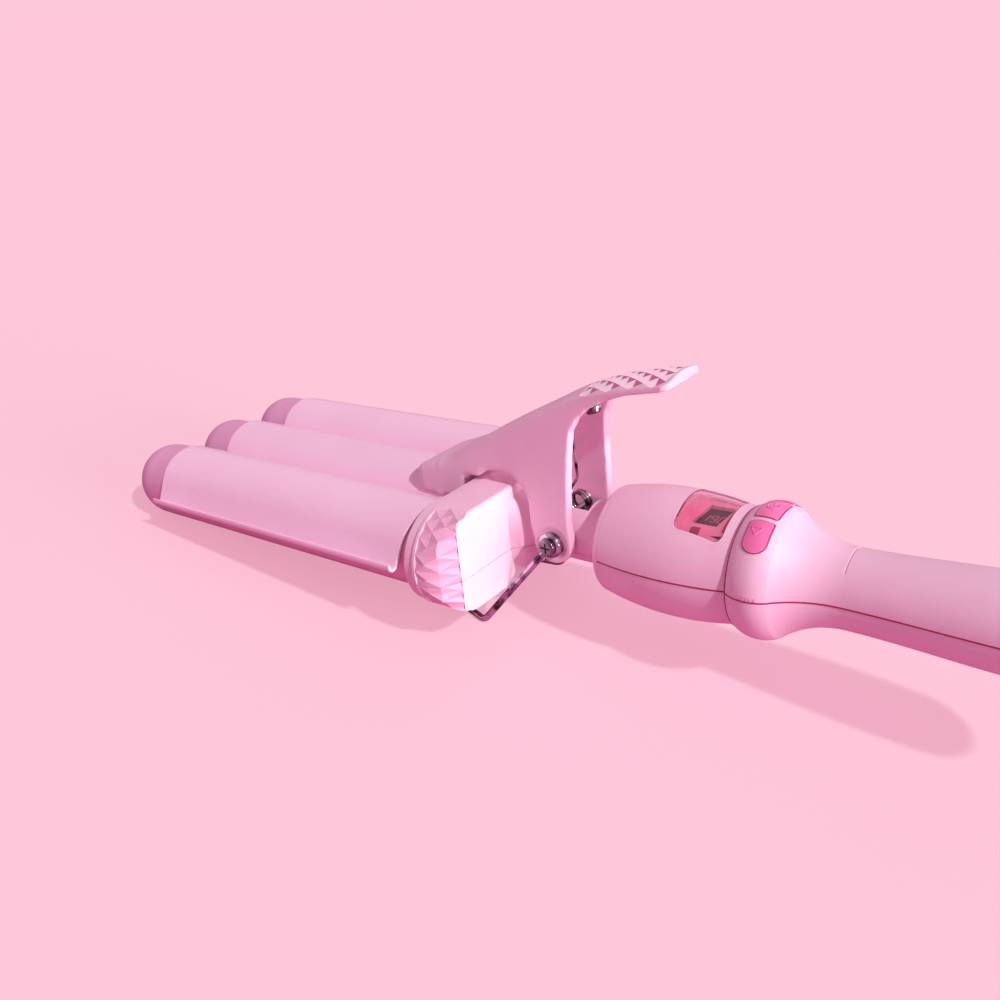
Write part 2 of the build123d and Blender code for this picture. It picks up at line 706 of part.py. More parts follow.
def head_skin(shift):
    """Solid of the control head and handle out to their surface, grown by shift."""
    front = Line((HEAD_FRONT, 0, 0), (HEAD_FRONT, 0, 17.4 + shift))
    lip = ThreePointArc(front @ 1, (18.35, 0, 18.75 + shift), (19.7, 0, 19.35 + shift))
    bulb = ThreePointArc(lip @ 1, (40.0, 0, 22.1 + shift), (66.6, 0, 19.4 + shift))
    step = Line(bulb @ 1, (RING_FRONT, 0, 20.3 + shift))
    ring = ThreePointArc(step @ 1, (73.6, 0, 22.5 + shift), (RING_REAR, 0, 20.6 + shift))
    waist_radius = 29.3
    waist_middle = (87.0, 0, GRIP_RADIUS + shift + waist_radius - sqrt(waist_radius**2 - 13.0**2))
    waist = ThreePointArc(ring @ 1, waist_middle, (GRIP_FRONT, 0, GRIP_RADIUS + shift))
    grip = Spline(
        waist @ 1,
        (140.0, 0, 14.7 + shift),
        (GRIP_REAR, 0, 14.4 + shift),
        tangents=((1, 0, 0), (1, 0, -0.05)),
    )
    rear = Line(grip @ 1, (GRIP_REAR, 0, 0))
    axis = Line(rear @ 1, front @ 0)
    face = face_of(front, lip, bulb, step, ring, waist, grip, rear, axis)
    return Pos(0, 0, AXIS_Z) * revolve(face, axis=Axis.X)


def head_hollow():
    """Inside of the control head and handle."""
    front_x = CAP_REAR + 0.1 + HEAD_WALL
    front = Line((front_x, 0, 0), (front_x, 0, 17.5))
    bulb = ThreePointArc(front @ 1, (42.0, 0, 22.0 - HEAD_WALL), (66.6, 0, 17.2))
    throat = Polyline((66.6, 0, 17.2), (69.0, 0, 17.2), (69.0, 0, 19.6), (78.4, 0, 19.6), (78.4, 0, 17.6))
    waist = ThreePointArc(throat @ 1, (86.0, 0, 13.2), (GRIP_FRONT, 0, GRIP_RADIUS - HEAD_WALL))
    grip = Spline(
        waist @ 1,
        (140.0, 0, 12.4),
        (GRIP_REAR + 1, 0, 12.2),
        tangents=((1, 0, 0), (1, 0, -0.05)),
    )
    rear = Line(grip @ 1, (GRIP_REAR + 1, 0, 0))
    axis = Line(rear @ 1, front @ 0)
    face = face_of(front, bulb, throat, waist, grip, rear, axis)
    return Pos(0, 0, AXIS_Z) * revolve(face, axis=Axis.X)


def window_prism(inset):
    """Rounded window seen from above, as an upright prism."""
    length = WINDOW_REAR - WINDOW_FRONT - 2 * inset
    width = 2 * (WINDOW_HALF_WIDTH - inset)
    outline = RectangleRounded(length, width, WINDOW_ROUND)
    middle = (WINDOW_FRONT + WINDOW_REAR) / 2
    return Pos(middle, 0, 8) * extrude(outline, amount=20)


def button_prism(side, grow):
    """Outline of a button, standing on the axis: side -1 is near, 0 the top one, 1 far."""
    half_width = BUTTON_HALF_WIDTH + grow
    half_length = BUTTON_HALF_LENGTH + grow
    if side == 0:
        outline = RectangleRounded(2 * half_width, 2 * half_length + 0.6, 1.0 + grow)
    else:
        inner = half_length * -side
        bend = (half_length - half_width) * side
        body = Pos(0, (inner + bend) / 2) * Rectangle(2 * half_width, abs(inner - bend))
        inner_corners = body.vertices().group_by(Axis.Y)[0 if side > 0 else -1]
        outline = fillet(inner_corners, 1.0 + grow) + Pos(0, bend) * Circle(half_width)
    prism = Pos(0, 0, 14) * extrude(outline, amount=16)
    return Pos(BUTTON_X, 0, AXIS_Z) * Rot(-side * BUTTON_ANGLE, 0, 0) * prism


def button_sector(side, gap):
    """Wedge round the axis that a button stays in, clear of the next button's wedge."""
    reach = 40.0
    if side == 0:
        turn = radians(BUTTON_SECTOR + gap)
        points = [(-reach * sin(turn), reach * cos(turn)), (reach * sin(turn), reach * cos(turn))]
    else:
        turn = radians(BUTTON_SECTOR + BUTTON_SECTOR_STEP - gap)
        points = [(side * reach * sin(turn), reach * cos(turn)), (side * reach, reach), (side * reach, 0)]
    corners = [(0, 0, 0)] + [(0, y, z) for y, z in points]
    wedge = extrude(face_of(Polyline(*corners, close=True)), amount=40, dir=(1, 0, 0))
    return Pos(60, 0, AXIS_Z) * wedge


def screw_posts():
    """X of the screws that close the handle."""
    return (37.4, 112.0, 166.0)


def make_handle():
    """Whole handle shell, hollow, before it is parted at its seam."""
    shell = head_skin(0)
    shell -= block(0, CAP_REAR + 0.1, -40, 40, -40, 40)
    hollow = head_hollow()
    for x in screw_posts():
        hollow -= rod_z(4.0, -30, 30, x)
    shell -= hollow
    shell -= rod_x(NECK_RADIUS + 0.2, 0, CAP_REAR + HEAD_WALL + 1)
    shell -= window_prism(0)
    for side in (-1, 0, 1):
        opening = button_prism(side, BUTTON_GAP) & button_sector(side, BUTTON_SECTOR_GAP)
        shell -= opening
    for x in screw_posts():
        shell -= rod_z(2.9, -30, -9.0, x)
        shell -= rod_z(1.6, -10, 7.5, x)
    groove = Pos(GROOVE_X, 0, AXIS_Z) * Rot(0, 90, 0) * Torus(GRIP_RADIUS, GROOVE_RADIUS)
    shell -= groove & block(90, 110, -9, 9, 5, 20)
    for side in (-1, 1):
        low = 12.4 if side > 0 else -21.0
        shell += block(70.5, 77.5, low, low + 8.6, -4.0, AXIS_Z - HANDLE_SEAM_GAP / 2 - 0.3)
    return shell


def make_front_cap():
    cap = head_skin(0) & block(0, CAP_REAR, -40, 40, -40, 40)
    return cap - rod_x(NECK_RADIUS + 0.2, 0, CAP_REAR + 1)


def make_lens():
    """Curved clear window, flush with the head."""
    return window_prism(0.15) & (head_skin(-0.1) - head_skin(-0.1 - LENS_THICK))


def make_tray():
    """Tub under the lens, with a rim that follows the head and a flat floor round the display."""
    whole = window_prism(-1.1) & head_skin(-HEAD_WALL - 0.15)
    tray = whole & block(40, 70, -20, 20, TRAY_FLOOR - 1.2, 30)
    rim = whole - head_skin(-HEAD_WALL - 0.15 - TRAY_SKIN)
    rim &= block(40, 70, -20, 20, TRAY_RIM_FLOOR, 20)
    tray += rim - block(40, 70, -TRAY_RIM_HALF_WIDTH, TRAY_RIM_HALF_WIDTH, TRAY_RIM_FLOOR - 1, 21)
    half_width = TRAY_TUB_HALF_WIDTH
    tray -= block(WINDOW_FRONT + 0.6, WINDOW_REAR - 0.6, -half_width, half_width, TRAY_FLOOR, 30)
    tray -= block(DISPLAY_FRONT, DISPLAY_REAR, -DISPLAY_HALF_WIDTH, DISPLAY_HALF_WIDTH, 10, 30)
    return tray


def make_display():
    """Display module under the tray's opening."""
    half = DISPLAY_HALF_WIDTH + 0.6
    return block(DISPLAY_FRONT - 0.6, DISPLAY_REAR + 0.6, -half, half, BOARD_TOP, TRAY_FLOOR - 1.25)


def make_board():
    board = block(47, 68.5, -11.8, 11.8, BOARD_TOP - 1.6, BOARD_TOP)
    corners = board.edges().filter_by(Axis.Z)
    return fillet(corners, 1.5)


def make_switch_carrier():
    """Half-ring over the axis that holds the three switches and stands on two ledges."""
    inner = SWITCH_TOP - 5.1
    carrier = rod_x(inner + 1.6, 70.2, 78.0, 0, AXIS_Z) - rod_x(inner, 70, 79, 0, AXIS_Z)
    carrier &= block(70, 79, -20, 20, AXIS_Z - 0.3, 20)
    for side in (-1, 0, 1):
        carrier -= Pos(BUTTON_X, 0, AXIS_Z) * Rot(-side * BUTTON_ANGLE, 0, 0) * switch_body(0.05)
    return carrier


def switch_body(gap):
    """Body of one switch, standing off the axis."""
    half = 3.0 + gap
    return block(-half, half, -half, half, SWITCH_TOP - 4.2 - gap, SWITCH_TOP - 0.8 + gap)


def make_switches():
    """Three small push switches, one under each button."""
    switches = []
    for side in (-1, 0, 1):
        switch = switch_body(0) + rod_z(1.6, SWITCH_TOP - 1.5, SWITCH_TOP)
        place = Pos(BUTTON_X, 0, AXIS_Z) * Rot(-side * BUTTON_ANGLE, 0, 0)
        switches.append((place * switch).solid())
    return Compound(children=switches)


def make_button(side):
    """Button that follows the ring's skin, with a flange that keeps it in."""
    body = button_prism(side, 0) & button_sector(side, 0) & head_skin(BUTTON_PROUD)
    body -= rod_x(FLANGE_BOTTOM + 0.5, 60, 90, 0, AXIS_Z)
    flange = button_prism(side, 0.5) & button_sector(side, 0) & rod_x(FLANGE_TOP, 60, 90, 0, AXIS_Z)
    flange -= rod_x(FLANGE_BOTTOM, 60, 90, 0, AXIS_Z)
    flange &= block(69.6, 78.2, -30, 30, -30, 30)
    return body + flange


def make_handle_screws():
    screws = [Pos(x, 0, -11.6) * sunk_screw(2.6, 2.0, 1.5, 18.5) for x in screw_posts()]
    return Compound(children=[screw.solid() for screw in screws])


def make_power_board():
    return block(118, 158, -8.5, 8.5, -5.2, -3.6)


def make_capacitor():
    """Round capacitor that lies on the power board."""
    return rod_x(4.0, 124, 142, 0, 0.45)


def make_end_cap():
    """Cap with a spigot in the handle and a stepped bore for the bush."""
    cap = rod_x(14.2, GRIP_REAR + 0.1, CAP_END, 0, AXIS_Z)
    rim = cap.faces().sort_by(Axis.X)[-1].edges()
    cap = fillet(rim, 2.6)
    cap += rod_x(11.9, GRIP_REAR - 7, GRIP_REAR + 1, 0, AXIS_Z)
    cap -= rod_x(8.6, GRIP_REAR - 8, GRIP_REAR - 1.0, 0, AXIS_Z)
    cap -= rod_x(BUSH_RADIUS + 0.08, GRIP_REAR - 8, CAP_END + 1, 0, AXIS_Z)
    return cap


def make_bush():
    """Swivelling inlet for the cord: a flange inside the cap, a barrel and a tapered mouth."""
    front = GRIP_REAR - 4
    flange_rear = GRIP_REAR - 1.2
    outline = [
        (front, BUSH_BORE),
        (front, 8.2),
        (flange_rear, 8.2),
        (flange_rear, BUSH_RADIUS),
        (CAP_END + 0.5, BUSH_RADIUS),
        (BUSH_END, BUSH_RADIUS - 1.2),
        (BUSH_END, BUSH_BORE),
    ]
    face = face_of(Polyline(*side_points(outline), close=True))
    return Pos(0, 0, AXIS_Z) * revolve(face, axis=Axis.X)


def heel_place():
    """Heel of the stand beside the pivot, in the side view: how far in front and how far below."""
    lean = radians(STAND_LEAN)
    return STAND_LEG * sin(lean), STAND_LEG * cos(lean)


def rest_tilt():
    """Tilt at which the barrel tips and the stand's heel touch one surface."""
    front, down = heel_place()
    run = -TIP_BALL - front
    reach = hypot(run, down)
    return atan2(down, run) + asin((STAND_WIRE - BARREL_RADIUS) / reach)


def pivot_height():
    return BARREL_RADIUS - TIP_BALL * sin(rest_tilt())


def make_stand():
    """Wire stand, drawn along the tool: an eye on each pivot screw, two legs and a foot loop."""
    front, down = heel_place()
    tilt = degrees(rest_tilt())
    foot_way = Vector(-cos(radians(tilt)), 0, sin(radians(tilt)))
    lean = Vector(-front, 0, -down).normalized()
    heel = {side: Vector(-front, side * STAND_HEEL_Y, -down) for side in (-1, 1)}
    top = {side: lean * STAND_EYE + Vector(0, side * STAND_EYE_Y, 0) for side in (-1, 1)}
    toe = {
        side: Vector(-front, side * STAND_TOE_Y, -down) + foot_way * STAND_TOE_X
        for side in (-1, 1)
    }
    run = [top[-1], heel[-1], toe[-1], toe[1], heel[1], top[1]]
    path = FilletPolyline(*run, radius=[3.5, 7.0, 7.0, 3.5])
    section = Plane(origin=path @ 0, z_dir=path % 0) * Circle(STAND_WIRE)
    stand = sweep(section, path=path)
    for side in (-1, 1):
        stand += Pos(0, side * STAND_EYE_Y, 0) * Rot(90, 0, 0) * Torus(STAND_EYE, STAND_WIRE)
    return stand


def make_pieces():
    """Every piece by its name, along the tool."""
    pieces = {}
    for name, y in barrel_places():
        pieces[f"barrel_{name}"] = make_barrel(y)
        pieces[f"tip_{name}"] = make_tip(y)
        pieces[f"heater_{name}"] = make_heater(y)
        pieces[f"heat_spreaders_{name}"] = make_spreaders(y)
    crossbar = make_crossbar()
    pieces["crossbar_upper"] = crossbar & half_space(True, BAR_SEAM, SEAM_GAP)
    pieces["crossbar_lower"] = crossbar & half_space(False, BAR_SEAM, SEAM_GAP)
    pieces["barrel_collar"] = make_collar()
    pieces["barrel_bracket"] = make_bracket()
    pieces["crossbar_screws"] = make_crossbar_screws()
    pieces["collar_screw"] = Pos(PAD_SCREW_X, 0, -18.7) * sunk_screw(2.7, 1.3, 1.25, 5.0)
    pieces["pivot_axle"] = make_axle()
    pieces["pivot_screws"] = make_pivot_screws()
    pieces["pivot_washers"] = make_pivot_washers()
    pieces["spring_pin"] = rod_y(PIN_RADIUS, -PIN_HALF_LENGTH, PIN_HALF_LENGTH, SPRING_X, PIN_Z)
    pieces["lever_spring"] = make_spring()
    pieces["clamp_sheet"] = make_sheet()
    pieces["sheet_rivets"] = make_rivets()
    pieces["clamp_lever"] = make_lever()
    pieces["spring_screw"] = make_spring_screw()
    pieces["spring_washer"] = make_spring_washer()
    handle = make_handle()
    pieces["handle_upper"] = handle & half_space(True, AXIS_Z, HANDLE_SEAM_GAP)
    pieces["handle_lower"] = handle & half_space(False, AXIS_Z, HANDLE_SEAM_GAP)
    pieces["front_cap"] = make_front_cap()
    pieces["display_lens"] = make_lens()
    pieces["display_tray"] = make_tray()
    pieces["display_module"] = make_display()
    pieces["control_board"] = make_board()
    pieces["switch_carrier"] = make_switch_carrier()
    pieces["button_switches"] = make_switches()
    for name, side in (("down", -1), ("power", 0), ("up", 1)):
        pieces[f"button_{name}"] = make_button(side)
    pieces["handle_screws"] = make_handle_screws()
    pieces["power_board"] = make_power_board()
    pieces["power_capacitor"] = make_capacitor()
    pieces["end_cap"] = make_end_cap()
    pieces["cord_bush"] = make_bush()
    pieces["stand_wire"] = make_stand()
    return pieces


def main():
    """Tilt every piece to the resting pose, centre the whole over the origin and write it."""
    os.makedirs("parts", exist_ok=True)
    tilt = degrees(rest_tilt())
    lean = Pos(0, 0, pivot_height()) * Rot(0, -tilt, 0)
    placed = {name: lean * piece for name, piece in make_pieces().items()}
    boxes = [piece.bounding_box() for piece in placed.values()]
    low_x = min(box.min.X for box in boxes)
    high_x = max(box.max.X for box in boxes)
    middle = -(low_x + high_x) / 2
    for name, piece in placed.items():
        solids = (Pos(middle, 0, 0) * piece).solids()
        whole = solids[0] if len(solids) == 1 else Compound(children=solids)
        export_step(whole, f"parts/{name}.step")
    low_z = min(box.min.Z for box in boxes)
    print("tilt", round(tilt, 3), "pivot height", round(pivot_height(), 3), "pivot x", round(middle, 3))
    print("length", round(high_x - low_x, 2), "lowest", round(low_z, 4))


main()
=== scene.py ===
"""Looks of a three-barrel hair waver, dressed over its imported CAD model.

Every new piece is drawn along the tool in millimetres: X runs from the barrel tips to the handle, Y along
the lever's pivot and Z up, with the pivot at zero. ToolFrame then lays it in the shared frame, in metres.
"""

import json
import logging
import math
from contextlib import contextmanager
from dataclasses import dataclass, field
from enum import Enum
from typing import Any, Callable, Iterator, Optional, Sequence

import bmesh
import bpy
from mathutils import Matrix, Vector

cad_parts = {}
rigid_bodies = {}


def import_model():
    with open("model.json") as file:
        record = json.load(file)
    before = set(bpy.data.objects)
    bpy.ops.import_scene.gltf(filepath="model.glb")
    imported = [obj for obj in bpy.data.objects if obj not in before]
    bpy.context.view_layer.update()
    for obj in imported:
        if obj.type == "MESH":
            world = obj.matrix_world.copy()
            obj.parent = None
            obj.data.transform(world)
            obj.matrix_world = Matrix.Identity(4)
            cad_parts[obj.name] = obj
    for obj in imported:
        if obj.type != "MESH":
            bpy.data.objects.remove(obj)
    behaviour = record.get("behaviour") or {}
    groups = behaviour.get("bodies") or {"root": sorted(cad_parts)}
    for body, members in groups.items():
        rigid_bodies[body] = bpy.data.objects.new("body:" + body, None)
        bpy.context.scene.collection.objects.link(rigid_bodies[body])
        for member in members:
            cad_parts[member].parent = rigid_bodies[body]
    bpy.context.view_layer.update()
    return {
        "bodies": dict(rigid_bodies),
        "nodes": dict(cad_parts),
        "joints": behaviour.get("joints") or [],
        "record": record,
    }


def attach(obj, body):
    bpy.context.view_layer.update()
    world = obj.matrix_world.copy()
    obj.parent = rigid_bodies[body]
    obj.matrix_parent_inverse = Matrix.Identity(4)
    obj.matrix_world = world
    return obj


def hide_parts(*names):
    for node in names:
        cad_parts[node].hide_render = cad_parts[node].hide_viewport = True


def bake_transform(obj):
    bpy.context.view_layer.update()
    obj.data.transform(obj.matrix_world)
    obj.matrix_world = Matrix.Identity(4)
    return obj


LOG = logging.getLogger("hair_waver")
Point = tuple[float, float, float]
# Distance in millimetres from which a line is sent to a surface.
FAR_OUT = 60.0
# Angles in degrees under which edges are shaded smooth, on carved pieces and on beads and wires.
CARVED_ANGLE = 15.0
ROUND_ANGLE = 60.0


class Side(Enum):
    """Side of the tool: near the camera, on its middle line, or far."""

    NEAR = -1
    MIDDLE = 0
    FAR = 1


class Pick(Enum):
    """What an edit-mode selection is made of."""

    FACES = "FACE"
    VERTS = "VERT"


@dataclass(frozen=True)
class ToolFrame:
    """Where the tool lies in the shared frame: its tilt in degrees and its pivot in millimetres."""

    tilt: float = 6.376
    pivot_x: float = 9.671
    pivot_z: float = 37.765

    def matrix(self) -> Matrix:
        """Turns the tool's millimetres into metres of the shared frame.

        Returns:
            The matrix that does both.
        """
        move = Matrix.Translation((self.pivot_x, 0, self.pivot_z))
        turn = Matrix.Rotation(-math.radians(self.tilt), 4, "Y")
        return Matrix.Scale(0.001, 4) @ move @ turn

    def point(self, x: float, y: float, z: float) -> Vector:
        """One point of the tool, in metres of the shared frame."""
        return self.matrix() @ Vector((x, y, z))


TOOL = ToolFrame()


# Modelling


def only(obj: bpy.types.Object) -> None:
    """Selects one object alone and makes it active.

    Args:
        obj: The object.
    """
    bpy.ops.object.select_all(action="DESELECT")
    obj.select_set(True)
    bpy.context.view_layer.objects.active = obj


@contextmanager
def editing(obj: bpy.types.Object) -> Iterator[None]:
    """Edit mode on one object, with nothing selected at its start.

    Args:
        obj: The mesh object to edit.
    """
    only(obj)
    bpy.ops.object.mode_set(mode="EDIT")
    bpy.ops.mesh.select_all(action="DESELECT")
    yield
    bpy.ops.object.mode_set(mode="OBJECT")


def pick(obj: bpy.types.Object, kind: Pick, test: Callable[[Any], bool]) -> None:
    """Selects the parts of a mesh that pass a test. It is called in edit mode.

    Args:
        obj: The object in edit mode.
        kind: Faces or vertices.
        test: Takes one bmesh face or vertex and says whether it is selected.
    """
    bpy.ops.mesh.select_mode(type=kind.value)
    bpy.ops.mesh.select_all(action="DESELECT")
    mesh = bmesh.from_edit_mesh(obj.data)
    for part in mesh.faces if kind is Pick.FACES else mesh.verts:
        if test(part):
            part.select_set(True)
    mesh.select_flush_mode()
    bmesh.update_edit_mesh(obj.data)


def named(name: str) -> bpy.types.Object:
    """Names the active object and its mesh.

    Args:
        name: The name of both.

    Returns:
        The object.
    """
    obj = bpy.context.view_layer.objects.active
    obj.name = name
    obj.data.name = name
    return obj


def modify(obj: bpy.types.Object, kind: str, **settings: Any) -> None:
    """Adds one modifier with its settings and applies it.

    Args:
        obj: The object to change.
        kind: Blender's name of the modifier.
        **settings: The modifier's own settings.
    """
    only(obj)
    modifier = obj.modifiers.new(kind.title(), kind)
    for key, value in settings.items():
        setattr(modifier, key, value)
    bpy.ops.object.modifier_apply(modifier=modifier.name)


def tidy_shell(obj: bpy.types.Object, gap: float) -> None:
    """Merges points that coincide and turns every face outwards.

    Args:
        obj: A closed mesh.
        gap: Distance under which two points are one, in the mesh's own unit.
    """
    with editing(obj):
        bpy.ops.mesh.select_all(action="SELECT")
        bpy.ops.mesh.remove_doubles(threshold=gap)
        bpy.ops.mesh.normals_make_consistent(inside=False)


def wire(
    name: str, points: Sequence[Vector], radius: float, closed: bool, smooth: bool
) -> bpy.types.Object:
    """Round wire or bead along points, as a closed mesh.

    Args:
        name: Name of the piece.
        points: Points along the tool, in millimetres.
        radius: Radius of the wire.
        closed: Whether the last point joins the first.
        smooth: Whether the line runs smoothly past its points instead of through them.

    Returns:
        The mesh object.
    """
    curve = bpy.data.curves.new(name, "CURVE")
    curve.dimensions = "3D"
    curve.bevel_depth = radius
    curve.bevel_resolution = 3
    curve.use_fill_caps = not closed
    spline = curve.splines.new("NURBS" if smooth else "POLY")
    spline.points.add(len(points) - 1)
    for slot, point in zip(spline.points, points):
        slot.co = (*point, 1.0)
    spline.use_cyclic_u = closed
    if smooth:
        spline.order_u = 3
        spline.use_endpoint_u = not closed
        spline.resolution_u = 3
    obj = bpy.data.objects.new(name, curve)
    bpy.context.scene.collection.objects.link(obj)
    only(obj)
    bpy.ops.object.convert(target="MESH")
    obj = named(name)
    tidy_shell(obj, 0.001)
    return obj


def settle(obj: bpy.types.Object) -> None:
    """Lays a piece that was drawn along the tool in the shared frame, with its place in its mesh.

    Args:
        obj: The piece, in millimetres.
    """
    only(obj)
    bpy.ops.object.transform_apply(location=True, rotation=True, scale=True)
    obj.matrix_world = TOOL.matrix()
    bpy.ops.object.transform_apply(location=True, rotation=True, scale=True)


def smooth_by_angle(obj: bpy.types.Object, angle: float) -> None:
    """Shades smoothly across edges that are flatter than an angle in degrees."""
    only(obj)
    bpy.ops.object.shade_smooth_by_angle(angle=math.radians(angle))


def carve(obj: bpy.types.Object, cutter: bpy.types.Object) -> None:
    """Takes a cutter's volume out of a piece, and the cutter away.

    Args:
        obj: The piece, a closed mesh.
        cutter: A closed mesh in the same frame.
    """
    modify(obj, "BOOLEAN", operation="DIFFERENCE", solver="EXACT", object=cutter)
    bpy.data.objects.remove(cutter)


def marked(cutter: bpy.types.Object) -> bpy.types.Object:
    """Makes the faces that a cutter leaves take the piece's second material.

    Args:
        cutter: The cutter.

    Returns:
        The same cutter.
    """
    for face in cutter.data.polygons:
        face.material_index = 1
    return cutter


def cast(node: bpy.types.Object, name: str) -> bpy.types.Object:
    """Merged copy of a CAD node's mesh, as the start of a piece that takes the node's place.

    Args:
        node: The CAD node, which is left as it is.
        name: Name of the new piece.

    Returns:
        The copy, in the shared frame.
    """
    obj = bpy.data.objects.new(name, node.data.copy())
    bpy.context.scene.collection.objects.link(obj)
    only(obj)
    if obj.data.has_custom_normals:
        bpy.ops.mesh.customdata_custom_splitnormals_clear()
    with editing(obj):
        bpy.ops.mesh.select_all(action="SELECT")
        bpy.ops.mesh.remove_doubles(threshold=0.000002)
    return named(name)


def hand_over(obj: bpy.types.Object, finish: bpy.types.Material, slot: str, body: Optional[str]) -> None:
    """Gives a finished piece its material and the body that it rides on.

    Args:
        obj: The piece, in its place.
        finish: Its material.
        slot: The record's material slot; not used.
        body: The body that it rides on, or None for a piece that is left unattached.
    """
    obj.data.materials.clear()
    obj.data.materials.append(finish)
    if body:
        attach(obj, body)
    LOG.info("%s: %d faces, body %s", obj.name, len(obj.data.polygons), body or "between two")


def touch(node: bpy.types.Object, start: Point, way: Point) -> Vector:
    """First point of a piece's surface on a line, in millimetres along the tool.

    Args:
        node: The piece, in the shared frame.
        start: Where the line starts.
        way: Its direction.

    Returns:
        The point, or the start where the line misses the piece.
    """
    inward = node.matrix_world.inverted()
    begin = inward @ TOOL.point(*start)
    end = inward @ TOOL.point(*(a + b for a, b in zip(start, way)))
    hit, place, _, _ = node.ray_cast(begin, (end - begin).normalized())
    return TOOL.matrix().inverted() @ node.matrix_world @ place if hit else Vector(start)


def trim(
    name: str,
    points: Sequence[Vector],
    radius: float,
    closed: bool,
    finish: bpy.types.Material,
    slot: str,
    body: str,
) -> None:
    """Thin bead along points, in its place and dressed.

    Args:
        name: Name of the piece.
        points: Points along the tool, in millimetres.
        radius: Radius of the bead.
        closed: Whether it is a ring.
        finish: Its material.
        slot: The record's material slot.
        body: The body that it rides on.
    """
    obj = wire(name, points, radius, closed=closed, smooth=False)
    settle(obj)
    smooth_by_angle(obj, ROUND_ANGLE)
    hand_over(obj, finish, slot, body)


def circle(middle: Point, radius: float, steps: int) -> list[Vector]:
    """Points of a circle across the tool, from its top towards the far side.

    Args:
        middle: Its middle.
        radius: Its radius.
        steps: How many points it has.

    Returns:
        The points, in millimetres along the tool.
    """
    x, y, z = middle
    turns = [math.radians(360 * step / steps) for step in range(steps)]
    return [Vector((x, y + radius * math.sin(turn), z + radius * math.cos(turn))) for turn in turns]


def close_points(
    path: Sequence[tuple[float, float]], step: float, closed: bool, y_per_x: float = 1.0
) -> list[tuple[float, float]]:
    """Points close together along a path.

    Args:
        path: The path's corners as (x, y).
        step: The least distance between two points, in the unit of x, except on a shorter side.
        closed: Whether the last corner joins the first.
        y_per_x: How much of y is as long as one of x.

    Returns:
        The points as (x, y).
    """
    following = list(path[1:]) + ([path[0]] if closed else [])
    points = []
    for (x0, y0), (x1, y1) in zip(path, following):
        count = max(int(math.hypot(x1 - x0, (y1 - y0) / y_per_x) / step), 1)
        points += [(x0 + (x1 - x0) * k / count, y0 + (y1 - y0) * k / count) for k in range(count)]
    return points if closed else points + [path[-1]]


def arc_height(first: Point, middle: Point, last: Point, x: float) -> float:
    """Height of the arc through three points of a side view, each given as (x, unused, height).

    Args:
        first: Where the arc starts.
        middle: A point between its ends.
        last: Where it ends.
        x: Where the height is asked for.

    Returns:
        The height on the upper half of the arc's circle.
    """
    (x1, _, z1), (x2, _, z2), (x3, _, z3) = first, middle, last
    lead = 2 * (x2 - x1) * (z3 - z1) - 2 * (x3 - x1) * (z2 - z1)
    side_one = x2**2 - x1**2 + z2**2 - z1**2
    side_two = x3**2 - x1**2 + z3**2 - z1**2
    centre_x = (side_one * (z3 - z1) - side_two * (z2 - z1)) / lead
    centre_z = (side_two * (x2 - x1) - side_one * (x3 - x1)) / lead
    radius = math.hypot(x1 - centre_x, z1 - centre_z)
    return centre_z + math.sqrt(max(radius**2 - (x - centre_x) ** 2, 0.0))


# Finishes


def linear(code: str) -> tuple[float, float, float, float]:
    """Linear colour of an sRGB hex code.

    Args:
        code: Six digits, such as F2B5CF.

    Returns:
        Red, green, blue and an alpha of 1.
    """
    parts = [int(code[i : i + 2], 16) / 255 for i in (0, 2, 4)]
    turned = [c / 12.92 if c <= 0.04045 else ((c + 0.055) / 1.055) ** 2.4 for c in parts]
    return (turned[0], turned[1], turned[2], 1.0)


def add(
    tree: bpy.types.NodeTree, kind: str, inputs: Optional[dict[str, Any]] = None, **settings: Any
) -> Any:
    """Adds a node, sets it and joins what feeds it.

    Args:
        tree: The material's or world's node tree.
        kind: Blender's name of the node.
        inputs: For each input socket, by name or number, a plain value or the output socket that feeds it.
        **settings: The node's own settings.

    Returns:
        The node.
    """
    node = tree.nodes.new(kind)
    for key, value in settings.items():
        setattr(node, key, value)
    for key, value in (inputs or {}).items():
        socket = node.inputs[key]
        if isinstance(value, bpy.types.NodeSocket):
            tree.links.new(value, socket)
        else:
            socket.default_value = value
    return node


def blank(name: str) -> tuple[bpy.types.Material, bpy.types.NodeTree]:
    """New material with an empty node tree.

    Args:
        name: Its name.

    Returns:
        The material and its node tree.
    """
    material = bpy.data.materials.new(name)
    material.use_nodes = True
    material.node_tree.nodes.clear()
    return material, material.node_tree


